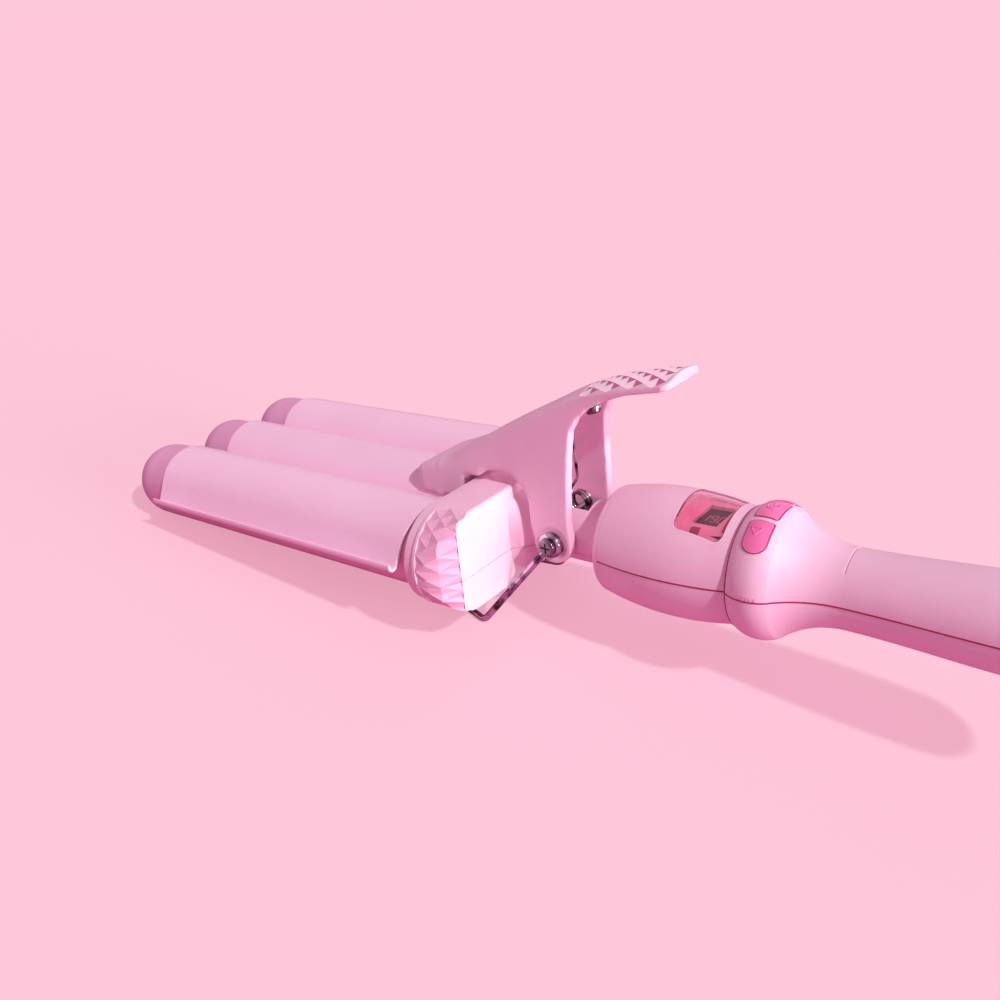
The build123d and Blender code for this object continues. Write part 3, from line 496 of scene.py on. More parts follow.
@dataclass(frozen=True)
class Plastic:
    """Injection-moulded plastic: an even colour with a faint flow cloud, and a fine spark-eroded skin.

    The cloud keeps large faces from looking painted, and the skin breaks up highlights into a satin sheen.
    Sizes are in millimetres. A real grain is too fine to show, so it is drawn as coarse as it needs to be.
    """

    name: str
    colour: str
    cloud: str
    roughness: float
    grain: float = 0.35
    depth: float = 0.012
    cloud_size: float = 22.0
    coat: float = 0.0

    def make(self) -> bpy.types.Material:
        """Builds the material.

        Returns:
            The material.
        """
        material, tree = blank(self.name)
        place = add(tree, "ShaderNodeTexCoord").outputs["Object"]
        cloud = add(
            tree, "ShaderNodeTexNoise", {"Vector": place, "Scale": 1000 / self.cloud_size, "Detail": 3.0}
        )
        tone = add(tree, "ShaderNodeValToRGB", {"Fac": cloud.outputs["Fac"]})
        tone.color_ramp.elements[0].position = 0.3
        tone.color_ramp.elements[0].color = linear(self.cloud)
        tone.color_ramp.elements[1].position = 0.62
        tone.color_ramp.elements[1].color = linear(self.colour)
        grain = add(
            tree, "ShaderNodeTexNoise", {"Vector": place, "Scale": 1000 / self.grain, "Detail": 2.0}
        )
        bump = add(
            tree,
            "ShaderNodeBump",
            {"Height": grain.outputs["Fac"], "Distance": self.depth / 1000, "Strength": 1.0},
        )
        sheen = add(
            tree,
            "ShaderNodeMapRange",
            {
                "Value": cloud.outputs["Fac"],
                "To Min": self.roughness - 0.04,
                "To Max": self.roughness + 0.04,
            },
        )
        shader = add(
            tree,
            "ShaderNodeBsdfPrincipled",
            {
                "Base Color": tone.outputs["Color"],
                "Roughness": sheen.outputs["Result"],
                "Normal": bump.outputs["Normal"],
                "IOR": 1.53,
                "Coat Weight": self.coat,
                "Coat Roughness": 0.12,
            },
        )
        add(tree, "ShaderNodeOutputMaterial", {"Surface": shader.outputs["BSDF"]})
        return material


@dataclass(frozen=True)
class CoatedMetal:
    """Aluminium under a satin enamel: faint orange peel, and lines along the tool that show through.

    Sizes are in millimetres. Real drawing lines are finer and are drawn as coarse as they need to be.
    """

    name: str
    colour: str
    cloud: str
    roughness: float
    peel: float = 1.6
    depth: float = 0.006
    line: float = 0.5

    def make(self) -> bpy.types.Material:
        """Builds the material.

        Returns:
            The material.
        """
        material, tree = blank(self.name)
        place = add(tree, "ShaderNodeTexCoord").outputs["Object"]
        along = add(
            tree,
            "ShaderNodeMapping",
            {"Vector": place, "Rotation": (0, math.radians(TOOL.tilt), 0), "Scale": (0.02, 1.0, 1.0)},
        )
        lines = add(
            tree,
            "ShaderNodeTexNoise",
            {"Vector": along.outputs["Vector"], "Scale": 1000 / self.line, "Detail": 2.0},
        )
        peel = add(
            tree, "ShaderNodeTexNoise", {"Vector": place, "Scale": 1000 / self.peel, "Detail": 1.0}
        )
        cloud = add(tree, "ShaderNodeTexNoise", {"Vector": place, "Scale": 24.0, "Detail": 3.0})
        tone = add(tree, "ShaderNodeValToRGB", {"Fac": cloud.outputs["Fac"]})
        tone.color_ramp.elements[0].position = 0.3
        tone.color_ramp.elements[0].color = linear(self.cloud)
        tone.color_ramp.elements[1].position = 0.65
        tone.color_ramp.elements[1].color = linear(self.colour)
        relief = add(
            tree,
            "ShaderNodeMath",
            {0: peel.outputs["Fac"], 1: lines.outputs["Fac"]},
            operation="ADD",
        )
        bump = add(
            tree,
            "ShaderNodeBump",
            {"Height": relief.outputs["Value"], "Distance": self.depth / 1000, "Strength": 1.0},
        )
        sheen = add(
            tree,
            "ShaderNodeMapRange",
            {
                "Value": lines.outputs["Fac"],
                "To Min": self.roughness - 0.05,
                "To Max": self.roughness + 0.05,
            },
        )
        shader = add(
            tree,
            "ShaderNodeBsdfPrincipled",
            {
                "Base Color": tone.outputs["Color"],
                "Roughness": sheen.outputs["Result"],
                "Normal": bump.outputs["Normal"],
                "IOR": 1.5,
                "Coat Weight": 0.25,
                "Coat Roughness": 0.25,
            },
        )
        add(tree, "ShaderNodeOutputMaterial", {"Surface": shader.outputs["BSDF"]})
        return material


@dataclass(frozen=True)
class BareMetal:
    """Plated, drawn or extruded metal: a tint with patches of a second colour, and fine marks that stretch
    or break its reflections.

    Sizes are in millimetres. Real marks are finer and are drawn as coarse as they need to be.
    """

    name: str
    colour: str
    patch_and_reflection_colour: str
    roughness: float
    mark: float = 0.4
    stretch: tuple[float, float, float] = (1.0, 1.0, 1.0)
    depth: float = 0.004

    def make(self) -> bpy.types.Material:
        """Builds the material.

        Returns:
            The material.
        """
        material, tree = blank(self.name)
        place = add(tree, "ShaderNodeTexCoord").outputs["Object"]
        turned = add(tree, "ShaderNodeMapping", {"Vector": place, "Scale": self.stretch})
        marks = add(
            tree,
            "ShaderNodeTexNoise",
            {"Vector": turned.outputs["Vector"], "Scale": 1000 / self.mark, "Detail": 3.0},
        )
        # Patches of the second colour: on the wire and the spring, dark against a pale tint, they are
        # painted reflections; on the other metals, a tone that varies.
        patches_and_reflections = add(tree, "ShaderNodeTexNoise", {"Vector": place, "Scale": 220.0, "Detail": 2.0})
        tone = add(tree, "ShaderNodeValToRGB", {"Fac": patches_and_reflections.outputs["Fac"]})
        tone.color_ramp.elements[0].position = 0.35
        tone.color_ramp.elements[0].color = linear(self.patch_and_reflection_colour)
        tone.color_ramp.elements[1].position = 0.6
        tone.color_ramp.elements[1].color = linear(self.colour)
        bump = add(
            tree,
            "ShaderNodeBump",
            {"Height": marks.outputs["Fac"], "Distance": self.depth / 1000, "Strength": 1.0},
        )
        sheen = add(
            tree,
            "ShaderNodeMapRange",
            {
                "Value": patches_and_reflections.outputs["Fac"],
                "To Min": max(self.roughness - 0.05, 0.03),
                "To Max": self.roughness + 0.08,
            },
        )
        shader = add(
            tree,
            "ShaderNodeBsdfPrincipled",
            {
                "Base Color": tone.outputs["Color"],
                "Metallic": 1.0,
                "Roughness": sheen.outputs["Result"],
                "Normal": bump.outputs["Normal"],
            },
        )
        add(tree, "ShaderNodeOutputMaterial", {"Surface": shader.outputs["BSDF"]})
        return material


@dataclass(frozen=True)
class ClearPlastic:
    """Polished, dyed acrylic: clear, glossy, and pink where one looks through it."""

    name: str
    colour: str

    def make(self) -> bpy.types.Material:
        """Builds the material.

        Returns:
            The material.
        """
        material, tree = blank(self.name)
        place = add(tree, "ShaderNodeTexCoord").outputs["Object"]
        wave = add(tree, "ShaderNodeTexNoise", {"Vector": place, "Scale": 180.0, "Detail": 1.0})
        bump = add(
            tree, "ShaderNodeBump", {"Height": wave.outputs["Fac"], "Distance": 0.00002, "Strength": 1.0}
        )
        shader = add(
            tree,
            "ShaderNodeBsdfPrincipled",
            {
                "Base Color": linear(self.colour),
                "Roughness": 0.03,
                "IOR": 1.49,
                "Transmission Weight": 1.0,
                "Normal": bump.outputs["Normal"],
            },
        )
        add(tree, "ShaderNodeOutputMaterial", {"Surface": shader.outputs["BSDF"]})
        return material


@dataclass(frozen=True)
class CircuitBoard:
    """Solder-masked board: green with paler tracks, whose pitch is in millimetres, and a dull gloss."""

    name: str
    colour: str
    track: str
    pitch: float = 1.3

    def make(self) -> bpy.types.Material:
        """Builds the material.

        Returns:
            The material.
        """
        material, tree = blank(self.name)
        place = add(tree, "ShaderNodeTexCoord").outputs["Object"]
        bricks = add(
            tree,
            "ShaderNodeTexBrick",
            {
                "Vector": place,
                "Color1": linear(self.colour),
                "Color2": linear(self.colour),
                "Mortar": linear(self.track),
                "Scale": 1000 / self.pitch,
                "Mortar Size": 0.06,
                "Brick Width": 2.5,
                "Row Height": 0.6,
            },
        )
        shader = add(
            tree,
            "ShaderNodeBsdfPrincipled",
            {"Base Color": bricks.outputs["Color"], "Roughness": 0.3, "IOR": 1.5},
        )
        add(tree, "ShaderNodeOutputMaterial", {"Surface": shader.outputs["BSDF"]})
        return material


class Finishes:
    """All materials of the tool, each made once."""

    def __init__(self) -> None:
        """Makes the materials."""
        # ABS, moulded: pastel pink with a satin skin.
        self.housing = Plastic("abs_pink_moulded", "F6C8E0", "F3C1DA", 0.5).make()
        # ABS, moulded: the dimples at the crossbar's ends, with a coarser skin and a deeper colour that is
        # painted shade.
        self.dimple = Plastic("abs_pink_dimpled_painted_shade", "EDB4D0", "E8ABC9", 0.5, 0.5, 0.02).make()
        # ABS, moulded and smoother: the thumb pad's dimples and the crossbar's rear face, paler as a
        # painted highlight.
        self.painted_highlight = Plastic("abs_pink_painted_highlight", "FDE0EE", "FAD8E8", 0.35, depth=0.006).make()
        # ABS, moulded: the walls of the pad's dimples that face forward, in a deeper rose that is painted
        # shade.
        self.shade = Plastic("abs_rose_painted_shade", "DB86AE", "D47BA4", 0.5, depth=0.006).make()
        # Nylon, moulded and heat-proof: mauve, duller and a little coarser than the housing.
        self.tip = Plastic("nylon_mauve_moulded", "E6A5CA", "DE9CC3", 0.5, 0.5, 0.02).make()
        # ABS, moulded: hot pink with a soft gloss.
        self.button = Plastic("abs_hot_pink_moulded", "F577B4", "F06DAC", 0.3, 0.5, 0.008, coat=0.3).make()
        # ABS, moulded: pale rose, which the tinted window over it makes deep.
        self.tray = Plastic("abs_rose_moulded", "FFB0D0", "FDA6C9", 0.35).make()
        # Dark red: beads and a sheet laid in gaps, seams, the crease and the latch's slot, as painted
        # shade.
        self.painted_gap_shade = Plastic("abs_dark_red_painted_shade", "A81650", "961246", 0.4).make()
        # Aluminium tube, enamelled: pink with a soft gloss.
        self.barrel = CoatedMetal("aluminium_enamelled_tube", "F0AECB", "ECA6C5", 0.34).make()
        # Aluminium sheet, enamelled: paler, satin, with drawing lines along it.
        self.sheet = CoatedMetal("aluminium_enamelled_sheet", "FFD3ED", "FCCDE7", 0.32).make()
        # Aluminium sheet, sheared and enamelled: a paler colour on the rounded edge, a painted highlight.
        self.sheet_edge_highlight = CoatedMetal("aluminium_enamelled_highlight_edge", "FFF0F8", "FCE9F3", 0.3).make()
        # Steel wire, black nickel plated and mirror-bright: a pale tint with dark patches, painted
        # reflections.
        self.wire = BareMetal("steel_black_nickel_plated", "D2C6D6", "4A3E52", 0.1).make()
        # Steel, nickel plated: bright screw heads and washers with darker patches.
        self.screw = BareMetal("steel_nickel_plated", "E6DADD", "B5A7AE", 0.12).make()
        # Steel, black oxide: dark driver recesses and heads with a soft gloss.
        self.dark_screw = BareMetal("steel_black_oxide", "8C8088", "4B4249", 0.18).make()
        # Spring steel, oiled: dark patches between bright ones, painted reflections and glints.
        self.spring = BareMetal("spring_steel_oiled", "CFC6CA", "2A2327", 0.12).make()
        # Steel plate, zinc plated: pale grey spangle.
        self.plate = BareMetal("steel_zinc_plated", "B9BCC2", "9A9EA6", 0.35, 1.2).make()
        # Aluminium, extruded: die lines along the profile.
        self.extruded = BareMetal(
            "aluminium_extruded", "C9CACE", "B4B6BB", 0.35, 0.3, (0.03, 1.0, 1.0)
        ).make()
        # Acrylic, injection-moulded and polished: the clear pink window.
        self.lens = ClearPlastic("acrylic_pink_polished", "FFE3EE").make()
        # ABS, moulded with a satin face: the display's black front.
        self.display = Plastic("abs_black_satin", "1C0309", "160207", 0.5, depth=0.002).make()
        # Screen print: the display's pale segments.
        self.digit = Plastic("ink_pale_rose_printed", "E08FAA", "D4829D", 0.4, depth=0.002).make()
        # Alumina, pressed and fired: chalky white.
        self.ceramic = Plastic("alumina_fired", "EDE8DF", "E2DBD0", 0.6, 0.2, 0.02).make()
        # Phenolic, moulded: black switches and their carrier.
        self.switch = Plastic("phenolic_black_moulded", "26262A", "1C1C20", 0.45).make()
        # Glass-fibre board, etched and solder-masked: green with paler tracks.
        self.board = CircuitBoard("board_solder_masked", "1E5A33", "3F8A54").make()


def dress(frame: dict[str, Any], finish: bpy.types.Material, *nodes: str) -> None:
    """Gives CAD nodes a material, and leaves their shape as it is.

    Args:
        finish: The material.
        *nodes: Names of the nodes.
    """
    for name in nodes:
        obj = frame["nodes"][name]
        if not obj.material_slots:
            obj.data.materials.append(finish)
        for slot in obj.material_slots:
            slot.material = finish
        LOG.info("%s: dressed in %s", name, finish.name)


# Diamond relief, which the crossbar's ends and the thumb pad share


@dataclass(frozen=True)
class DiamondRelief:
    """Rhombic dimples, side by side: a flat cutter that is bent onto a surface and carved out of it.

    The ridges between the dimples cross at the node and at every further step from it. The sizes are each
    dimple's two diagonals and its depth, and how far the cutter reaches over the surface.
    """

    across: float
    along: float
    depth: float
    node: tuple[float, float]
    reach: float = 5.0
    cells: int = 14

    def cutter(
        self,
        name: str,
        low: float,
        high: float,
        keep: Callable[[float, float], bool],
        bend: Callable[[float, float, float], Vector],
    ) -> bpy.types.Object:
        """Models the cutter in the plane, its ridges at height zero, and bends it.

        Args:
            name: Name of the piece.
            low: Where the pattern is cut straight at its low end, along X.
            high: Where it is cut at its high end.
            keep: Says whether the dimple with its middle at (x, y) belongs to the pattern.
            bend: Takes a point (x, y, height) of the flat pattern to its place along the tool.

        Returns:
            The cutter, in the shared frame.
        """
        bpy.ops.object.select_all(action="DESELECT")
        bpy.ops.mesh.primitive_grid_add(
            x_subdivisions=self.cells, y_subdivisions=self.cells, size=self.cells
        )
        obj = named(name)
        # A square cell of side 1 that stands on its corner is the root of 2 across.
        to_size = math.sqrt(0.5)
        size = (self.across * to_size, self.along * to_size, 1)
        with editing(obj):
            bpy.ops.mesh.select_all(action="SELECT")
            bpy.ops.transform.rotate(value=math.pi / 4, orient_axis="Z", center_override=(0, 0, 0))
            bpy.ops.transform.resize(value=size, center_override=(0, 0, 0))
            bpy.ops.transform.translate(value=(*self.node, 0))
            pick(obj, Pick.FACES, lambda face: not self.inside(face, low, high, keep))
            bpy.ops.mesh.delete(type="FACE")
            bpy.ops.mesh.select_all(action="SELECT")
            bpy.ops.mesh.poke(offset=-self.depth, center_mode="MEDIAN")
            bpy.ops.mesh.select_all(action="SELECT")
            bpy.ops.mesh.extrude_region_move(TRANSFORM_OT_translate={"value": (0, 0, self.reach)})
        # The flat cutter is bent onto the surface point by point, which no operator does.
        for vertex in obj.data.vertices:
            vertex.co = bend(*vertex.co)
        with editing(obj):
            for place, way in ((low, -1), (high, 1)):
                bpy.ops.mesh.select_all(action="SELECT")
                bpy.ops.mesh.bisect(
                    plane_co=(place, 0, 0), plane_no=(way, 0, 0), clear_outer=True, use_fill=True
                )
        tidy_shell(obj, 0.0001)
        settle(obj)
        return obj

    def inside(self, face: Any, low: float, high: float, keep: Callable[[float, float], bool]) -> bool:
        """Whether a dimple reaches between the two cuts and belongs to the pattern.

        Args:
            face: The dimple's face in the flat grid.
            low: Where the pattern is cut at its low end.
            high: Where it is cut at its high end.
            keep: Says whether the dimple with its middle at (x, y) belongs to the pattern.

        Returns:
            Whether the face stays.
        """
        middle = face.calc_center_median()
        reach = self.across / 2
        return low - reach < middle.x < high + reach and keep(middle.x, middle.y)


# Sub-assemblies


@dataclass
class Barrels:
    """Three heated barrels with their tips, heaters and heat spreaders."""

    names: tuple[str, ...] = ("near", "middle", "far")
    pitch: float = 36.0
    gap_radius: float = 16.2
    collar_radius: float = 17.2
    gap_wire: float = 0.5
    gap_steps: int = 72

    def build(self, frame: dict[str, Any], finishes: Finishes) -> None:
        """Dresses the barrels.

        Args:
            finishes: The tool's materials.
        """
        for name in self.names:
            dress(frame, finishes.barrel, f"barrel_{name}")
            dress(frame, finishes.tip, f"tip_{name}")
            dress(frame, finishes.ceramic, f"heater_{name}")
            dress(frame, finishes.extruded, f"heat_spreaders_{name}")
        self.gaps(frame, finishes)

    def gaps(self, frame: dict[str, Any], finishes: Finishes) -> None:
        """Dark ring, painted shade, in the gap round each barrel where it enters the collar.

        Args:
            finishes: The tool's materials.
        """
        collar = frame["nodes"]["barrel_collar"]
        for name, y in zip(self.names, (-self.pitch, 0.0, self.pitch)):
            front = touch(collar, (-FAR_OUT, y, self.collar_radius), (1, 0, 0)).x
            ring = circle((front, y, 0.0), self.gap_radius, self.gap_steps)
            trim(f"barrel_gap_shade_{name}", ring, self.gap_wire, True, finishes.painted_gap_shade, "inner_plastic", "tool")


@dataclass
class Crossbar:
    """Crossbar with its collar, bracket and screws, and a diamond relief cut into each end."""

    # Seen from above, an end is an arc from its front through the bow to its rear corner, then a slope.
    front: float = -31.0
    corner: float = -17.0
    bow: Point = (-21.48, 0.0, 54.435)
    half_width: float = 57.0
    rear_half_width: float = 47.5
    rear_slope: float = 1.6
    # Seen from the front, an end is round, about a middle near the outer barrel's own.
    end_middle: float = 38.0
    end_radius: float = 19.0
    normal_step: float = 0.8
    relief: DiamondRelief = DiamondRelief(8.4, 6.0, 0.65, (-21.1, 1.3))
    relief_front: float = -29.9
    relief_top: float = 27.0
    relief_bottom: float = -26.0
    sunk: float = 0.05
    # Faces whose normal points to the rear by more than this take the paler colour, a painted highlight.
    rear_facing: float = 0.9

    def plan_width(self, x: float) -> float:
        """Half-width of the crossbar, seen from above.

        Args:
            x: Place along the tool.

        Returns:
            The distance of its end from the tool's middle line.
        """
        inside = min(max(x, self.front), self.corner)
        side = (self.corner, 0.0, self.rear_half_width)
        width = arc_height((self.front, 0.0, self.half_width), self.bow, side, inside)
        return width - self.rear_slope * max(x - self.corner, 0.0)

    def skin(self, x: float, run: float) -> Vector:
        """Point of the near end's surface.

        Args:
            x: Place along the tool.
            run: Distance along the end's section, upwards from its middle.

        Returns:
            The point, with Y towards the near side.
        """
        turn = run / self.end_radius
        y = self.end_middle + self.end_radius * math.cos(turn)
        return Vector((x, -min(y, self.plan_width(x)), self.end_radius * math.sin(turn)))

    def lift(self, x: float, run: float) -> Vector:
        """Unit normal of the near end's surface.

        Args:
            x: Place along the tool.
            run: Distance along the end's section, upwards from its middle.

        Returns:
            The normal, which points outwards.
        """
        step = self.normal_step
        along = self.skin(x + step, run) - self.skin(x - step, run)
        up = self.skin(x, run + step) - self.skin(x, run - step)
        normal = along.cross(up).normalized()
        return normal if normal.y < 0 else -normal

    def cutter(self, side: Side) -> bpy.types.Object:
        """Body that takes the dimples out of one end.

        Args:
            side: Which end.

        Returns:
            The cutter, in the shared frame.
        """

        def keep(_: float, run: float) -> bool:
            """Whether a dimple lies between the relief's lower and upper edge."""
            return self.relief_bottom < run < self.relief_top

        def bend(x: float, run: float, height: float) -> Vector:
            """Takes a point of the flat pattern to the end's skin."""
            point = self.skin(x, run) + self.lift(x, run) * (height - self.sunk)
            return Vector((point.x, point.y * -side.value, point.z))

        return self.relief.cutter(
            f"cutter_{side.name.lower()}", self.relief_front, self.corner, keep, bend
        )

    def shell(self, frame: dict[str, Any], finishes: Finishes, node: str) -> None:
        """One half of the crossbar with the dimples in its ends.

        Args:
            finishes: The tool's materials.
            node: The CAD node that it takes the place of.
        """
        obj = cast(frame["nodes"][node], f"{node}_shell")
        hand_over(obj, finishes.housing, "housing", "tool")
        # The second material, for the dimples, has a darker colour that is painted shade.
        obj.data.materials.append(finishes.dimple)
        obj.data.materials.append(finishes.painted_highlight)
        for side in (Side.NEAR, Side.FAR):
            carve(obj, marked(self.cutter(side)))
        # Faces that face the rear take the paler colour, a painted highlight.
        for face in obj.data.polygons:
            if face.normal.x > self.rear_facing:
                face.material_index = 2
        smooth_by_angle(obj, CARVED_ANGLE)
        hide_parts(node)

    def build(self, frame: dict[str, Any], finishes: Finishes) -> None:
        """Dresses the crossbar and models its ends.

        Args:
            finishes: The tool's materials.
        """
        dress(frame, finishes.housing, "crossbar_upper", "crossbar_lower", "barrel_collar")
        dress(frame, finishes.plate, "barrel_bracket")
        dress(frame, finishes.screw, "crossbar_screws", "collar_screw")
        for node in ("crossbar_upper", "crossbar_lower"):
            self.shell(frame, finishes, node)


@dataclass
class ClampLever:
    """Saddle-shaped lever with its thumb pad, and the clamp sheet that it carries."""

    # Side of the voxels in metres, and how strongly and how often each part of the skin is smoothed.
    voxel: float = 0.00045
    smoothing: float = 0.5
    passes: int = 12
    nose_rear: float = -52.0
    nose_height: float = 15.0
    nose_passes: int = 40
    arch_front: float = -50.0
    arch_rear: float = -9.0
    arch_top: float = 27.0
    arch_passes: int = 45
    pad_front: float = 11.8
    pad_rear: float = 43.7
    half_width: float = 11.2
    relief: DiamondRelief = DiamondRelief(8.2, 6.1, 1.55, (23.0, 0.0))
    sunk: float = 0.05
    # The dimples reach their full depth at this distance behind the pad's front, from this share of it.
    ramp: float = 4.0
    least_depth: float = 0.25
    # Dimple faces whose normal points forward by more than this take the rose colour, a painted shade.
    steep: float = -0.3
    # The sheet's rear end lies at this distance from the pivot's axis. Each arc of its section is given
    # as its middle across the tool and up, its radius, and the degrees where it starts and ends.
    sheet_reach: float = 40.9
    sheet_bead: float = 0.6
    arc_steps: int = 12
    sheet_arcs: tuple[tuple[float, float, float, float, float], ...] = (
        (-56.3, 0.6, 1.9, 160.0, 335.0),
        (-36.0, 0.0, 16.75, 155.0, 20.8),
        (-18.0, 6.82, 2.5, 200.8, 339.2),
        (0.0, 0.0, 16.75, 159.2, 20.8),
        (18.0, 6.82, 2.5, 200.8, 339.2),
        (36.0, 0.0, 16.75, 159.2, 25.0),
        (56.3, 0.6, 1.9, 205.0, 380.0),
    )
    sky: float = 90.0

    def top(self, obj: bpy.types.Object, x: float, y: float) -> float:
        """Height of the lever's top at a place, found from above."""
        inside = min(max(y, -self.half_width), self.half_width)
        return touch(obj, (min(x, self.pad_rear), inside, self.sky), (0, 0, -1)).z

    def in_arch(self, place: Vector) -> bool:
        """Whether a point of the lever lies at the edge of the arch over the crossbar."""
        point = TOOL.matrix().inverted() @ place
        return self.arch_front < point.x < self.arch_rear and point.z < self.arch_top

    def cutter(self, obj: bpy.types.Object) -> bpy.types.Object:
        """Body that takes the dimples out of the thumb pad.

        Args:
            obj: The lever in the shared frame.

        Returns:
            The cutter, in the shared frame.
        """

        def bend(x: float, y: float, height: float) -> Vector:
            """Takes a point of the flat pattern to the pad.

            Args:
                x: Place along the tool.
                y: Place across it.
                height: Height over the pattern's ridges.

            Returns:
                The point, less deep near the pad's front.
            """
            share = min(max((x - self.pad_front) / self.ramp, self.least_depth), 1.0)
            if height > self.relief.reach / 2:
                share = 1.0
            return Vector((x, y, self.top(obj, x, y) - self.sunk + height * share))

        return self.relief.cutter(
            "cutter_pad", self.pad_front, self.pad_rear, lambda x, y: abs(y) < self.half_width, bend
        )

    def shell(self, frame: dict[str, Any], finishes: Finishes) -> None:
        """Lever as moulded: the CAD solid melted into one skin with soft edges, and the pad's dimples.

        Args:
            finishes: The tool's materials.
        """
        obj = cast(frame["nodes"]["clamp_lever"], "lever_shell")
        modify(obj, "REMESH", mode="VOXEL", voxel_size=self.voxel, use_smooth_shade=True)
        modify(obj, "SMOOTH", factor=self.smoothing, iterations=self.passes)
        nose = TOOL.point(self.nose_rear, 0, self.nose_height).x
        with editing(obj):
            pick(obj, Pick.VERTS, lambda vertex: vertex.co.x < nose)
            bpy.ops.mesh.vertices_smooth(factor=self.smoothing, repeat=self.nose_passes)
            pick(obj, Pick.VERTS, lambda vertex: self.in_arch(vertex.co))
            bpy.ops.mesh.vertices_smooth(factor=self.smoothing, repeat=self.arch_passes)
        hand_over(obj, finishes.housing, "housing", "clamp")
        # The pad's dimples take the paler colour, a painted highlight.
        obj.data.materials.append(finishes.painted_highlight)
        obj.data.materials.append(finishes.shade)
        carve(obj, marked(self.cutter(obj)))
        # Dimple walls that face forward take the rose colour, a painted shade.
        for face in obj.data.polygons:
            if face.material_index == 1 and face.normal.x < self.steep:
                face.material_index = 2
        smooth_by_angle(obj, CARVED_ANGLE)
        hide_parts("clamp_lever")

    def build(self, frame: dict[str, Any], finishes: Finishes) -> None:
        """Models the lever and dresses what it carries.

        Args:
            finishes: The tool's materials.
        """
        dress(frame, finishes.housing, "clamp_lever")
        dress(frame, finishes.sheet, "clamp_sheet")
        dress(frame, finishes.plate, "sheet_rivets")
        dress(frame, finishes.dark_screw, "spring_screw")
        dress(frame, finishes.spring, "spring_washer")
        self.shell(frame, finishes)
        self.sheet_edge_highlight(finishes)

    def sheet_edge_highlight(self, finishes: Finishes) -> None:
        """Rounded edge along the rear end of the sheet, from hem to hem, in a paler colour that is a
        painted highlight.

        Args:
            finishes: The tool's materials.
        """
        points = []
        for y, z, radius, start, end in self.sheet_arcs:
            for step in range(self.arc_steps + 1):
                turn = math.radians(start + (end - start) * step / self.arc_steps)
                side, height = y + radius * math.cos(turn), z + radius * math.sin(turn)
                points.append(Vector((-math.sqrt(self.sheet_reach**2 - height**2), side, height)))
        trim("sheet_edge_highlight", points, self.sheet_bead, False, finishes.sheet_edge_highlight, "sheet_metal", "clamp")


@dataclass
class LeverSpring:
    """Torsion spring in the neck's pocket, with an arm up to the lever's ceiling."""

    # The coil in the pocket.
    wire_radius: float = 0.55
    coil_radius: float = 3.9
    pitch: float = 1.5
    turns: float = 3.25
    coil_x: float = 2.4
    coil_z: float = 10.4
    steps: int = 24
    # The arm rises from a knee over the coil through a bulge to a bend, and ends in a hook that slopes up
    # by so many degrees. Each corner is rounded within the distance given, from the knee to the bend.
    knee_rise: float = 3.2
    bulge: Point = (4.7, -4.0, 21.8)
    bend: Point = (3.6, -4.2, 46.43)
    slope: float = 18.7
    hook: float = 9.0
    rounds: tuple[float, float, float] = (1.7, 3.0, 2.4)
    # The short lower arm, and the share of it that rounds its start.
    tail: float = 4.0
    tail_round: float = 0.3

    def line(self) -> list[Vector]:
        """Points along the wire, from the hook under the lever to the short lower arm.

        Returns:
            Points along the tool, in millimetres.
        """
        rise = math.radians(self.slope)
        start_y = -self.turns * self.pitch / 2
        coil = []
        for step in range(int(self.turns * self.steps) + 1):
            turn = 2 * math.pi * step / self.steps
            x = self.coil_x - self.coil_radius * math.cos(turn)
            z = self.coil_z - self.coil_radius * math.sin(turn)
            coil.append(Vector((x, start_y + self.pitch * step / self.steps, z)))
        knee = coil[0] + Vector((0, 0, self.knee_rise))
        bulge, bend = Vector(self.bulge), Vector(self.bend)
        tip = bend + Vector((math.cos(rise), 0, math.sin(rise))) * self.hook
        line = [tip]
        for before, corner, after, size in zip(
            (tip, bend, bulge), (bend, bulge, knee), (bulge, knee, coil[0]), reversed(self.rounds)
        ):
            line += [corner.lerp(before, size / (before - corner).length), corner]
            line += [corner.lerp(after, size / (after - corner).length)]
        end = coil[-1] + Vector((self.tail, 0, 0))
        return line + coil + [coil[-1].lerp(end, self.tail_round), end]

    def build(self, frame: dict[str, Any], finishes: Finishes) -> None:
        """Models the spring and dresses its pin.

        Args:
            finishes: The tool's materials.
        """
        dress(frame, finishes.plate, "spring_pin")
        dress(frame, finishes.spring, "lever_spring")
        obj = wire("torsion_spring", self.line(), self.wire_radius, closed=False, smooth=True)
        settle(obj)
        smooth_by_angle(obj, ROUND_ANGLE)
        hand_over(obj, finishes.spring, "spring_steel", None)
        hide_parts("lever_spring")
        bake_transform(obj)


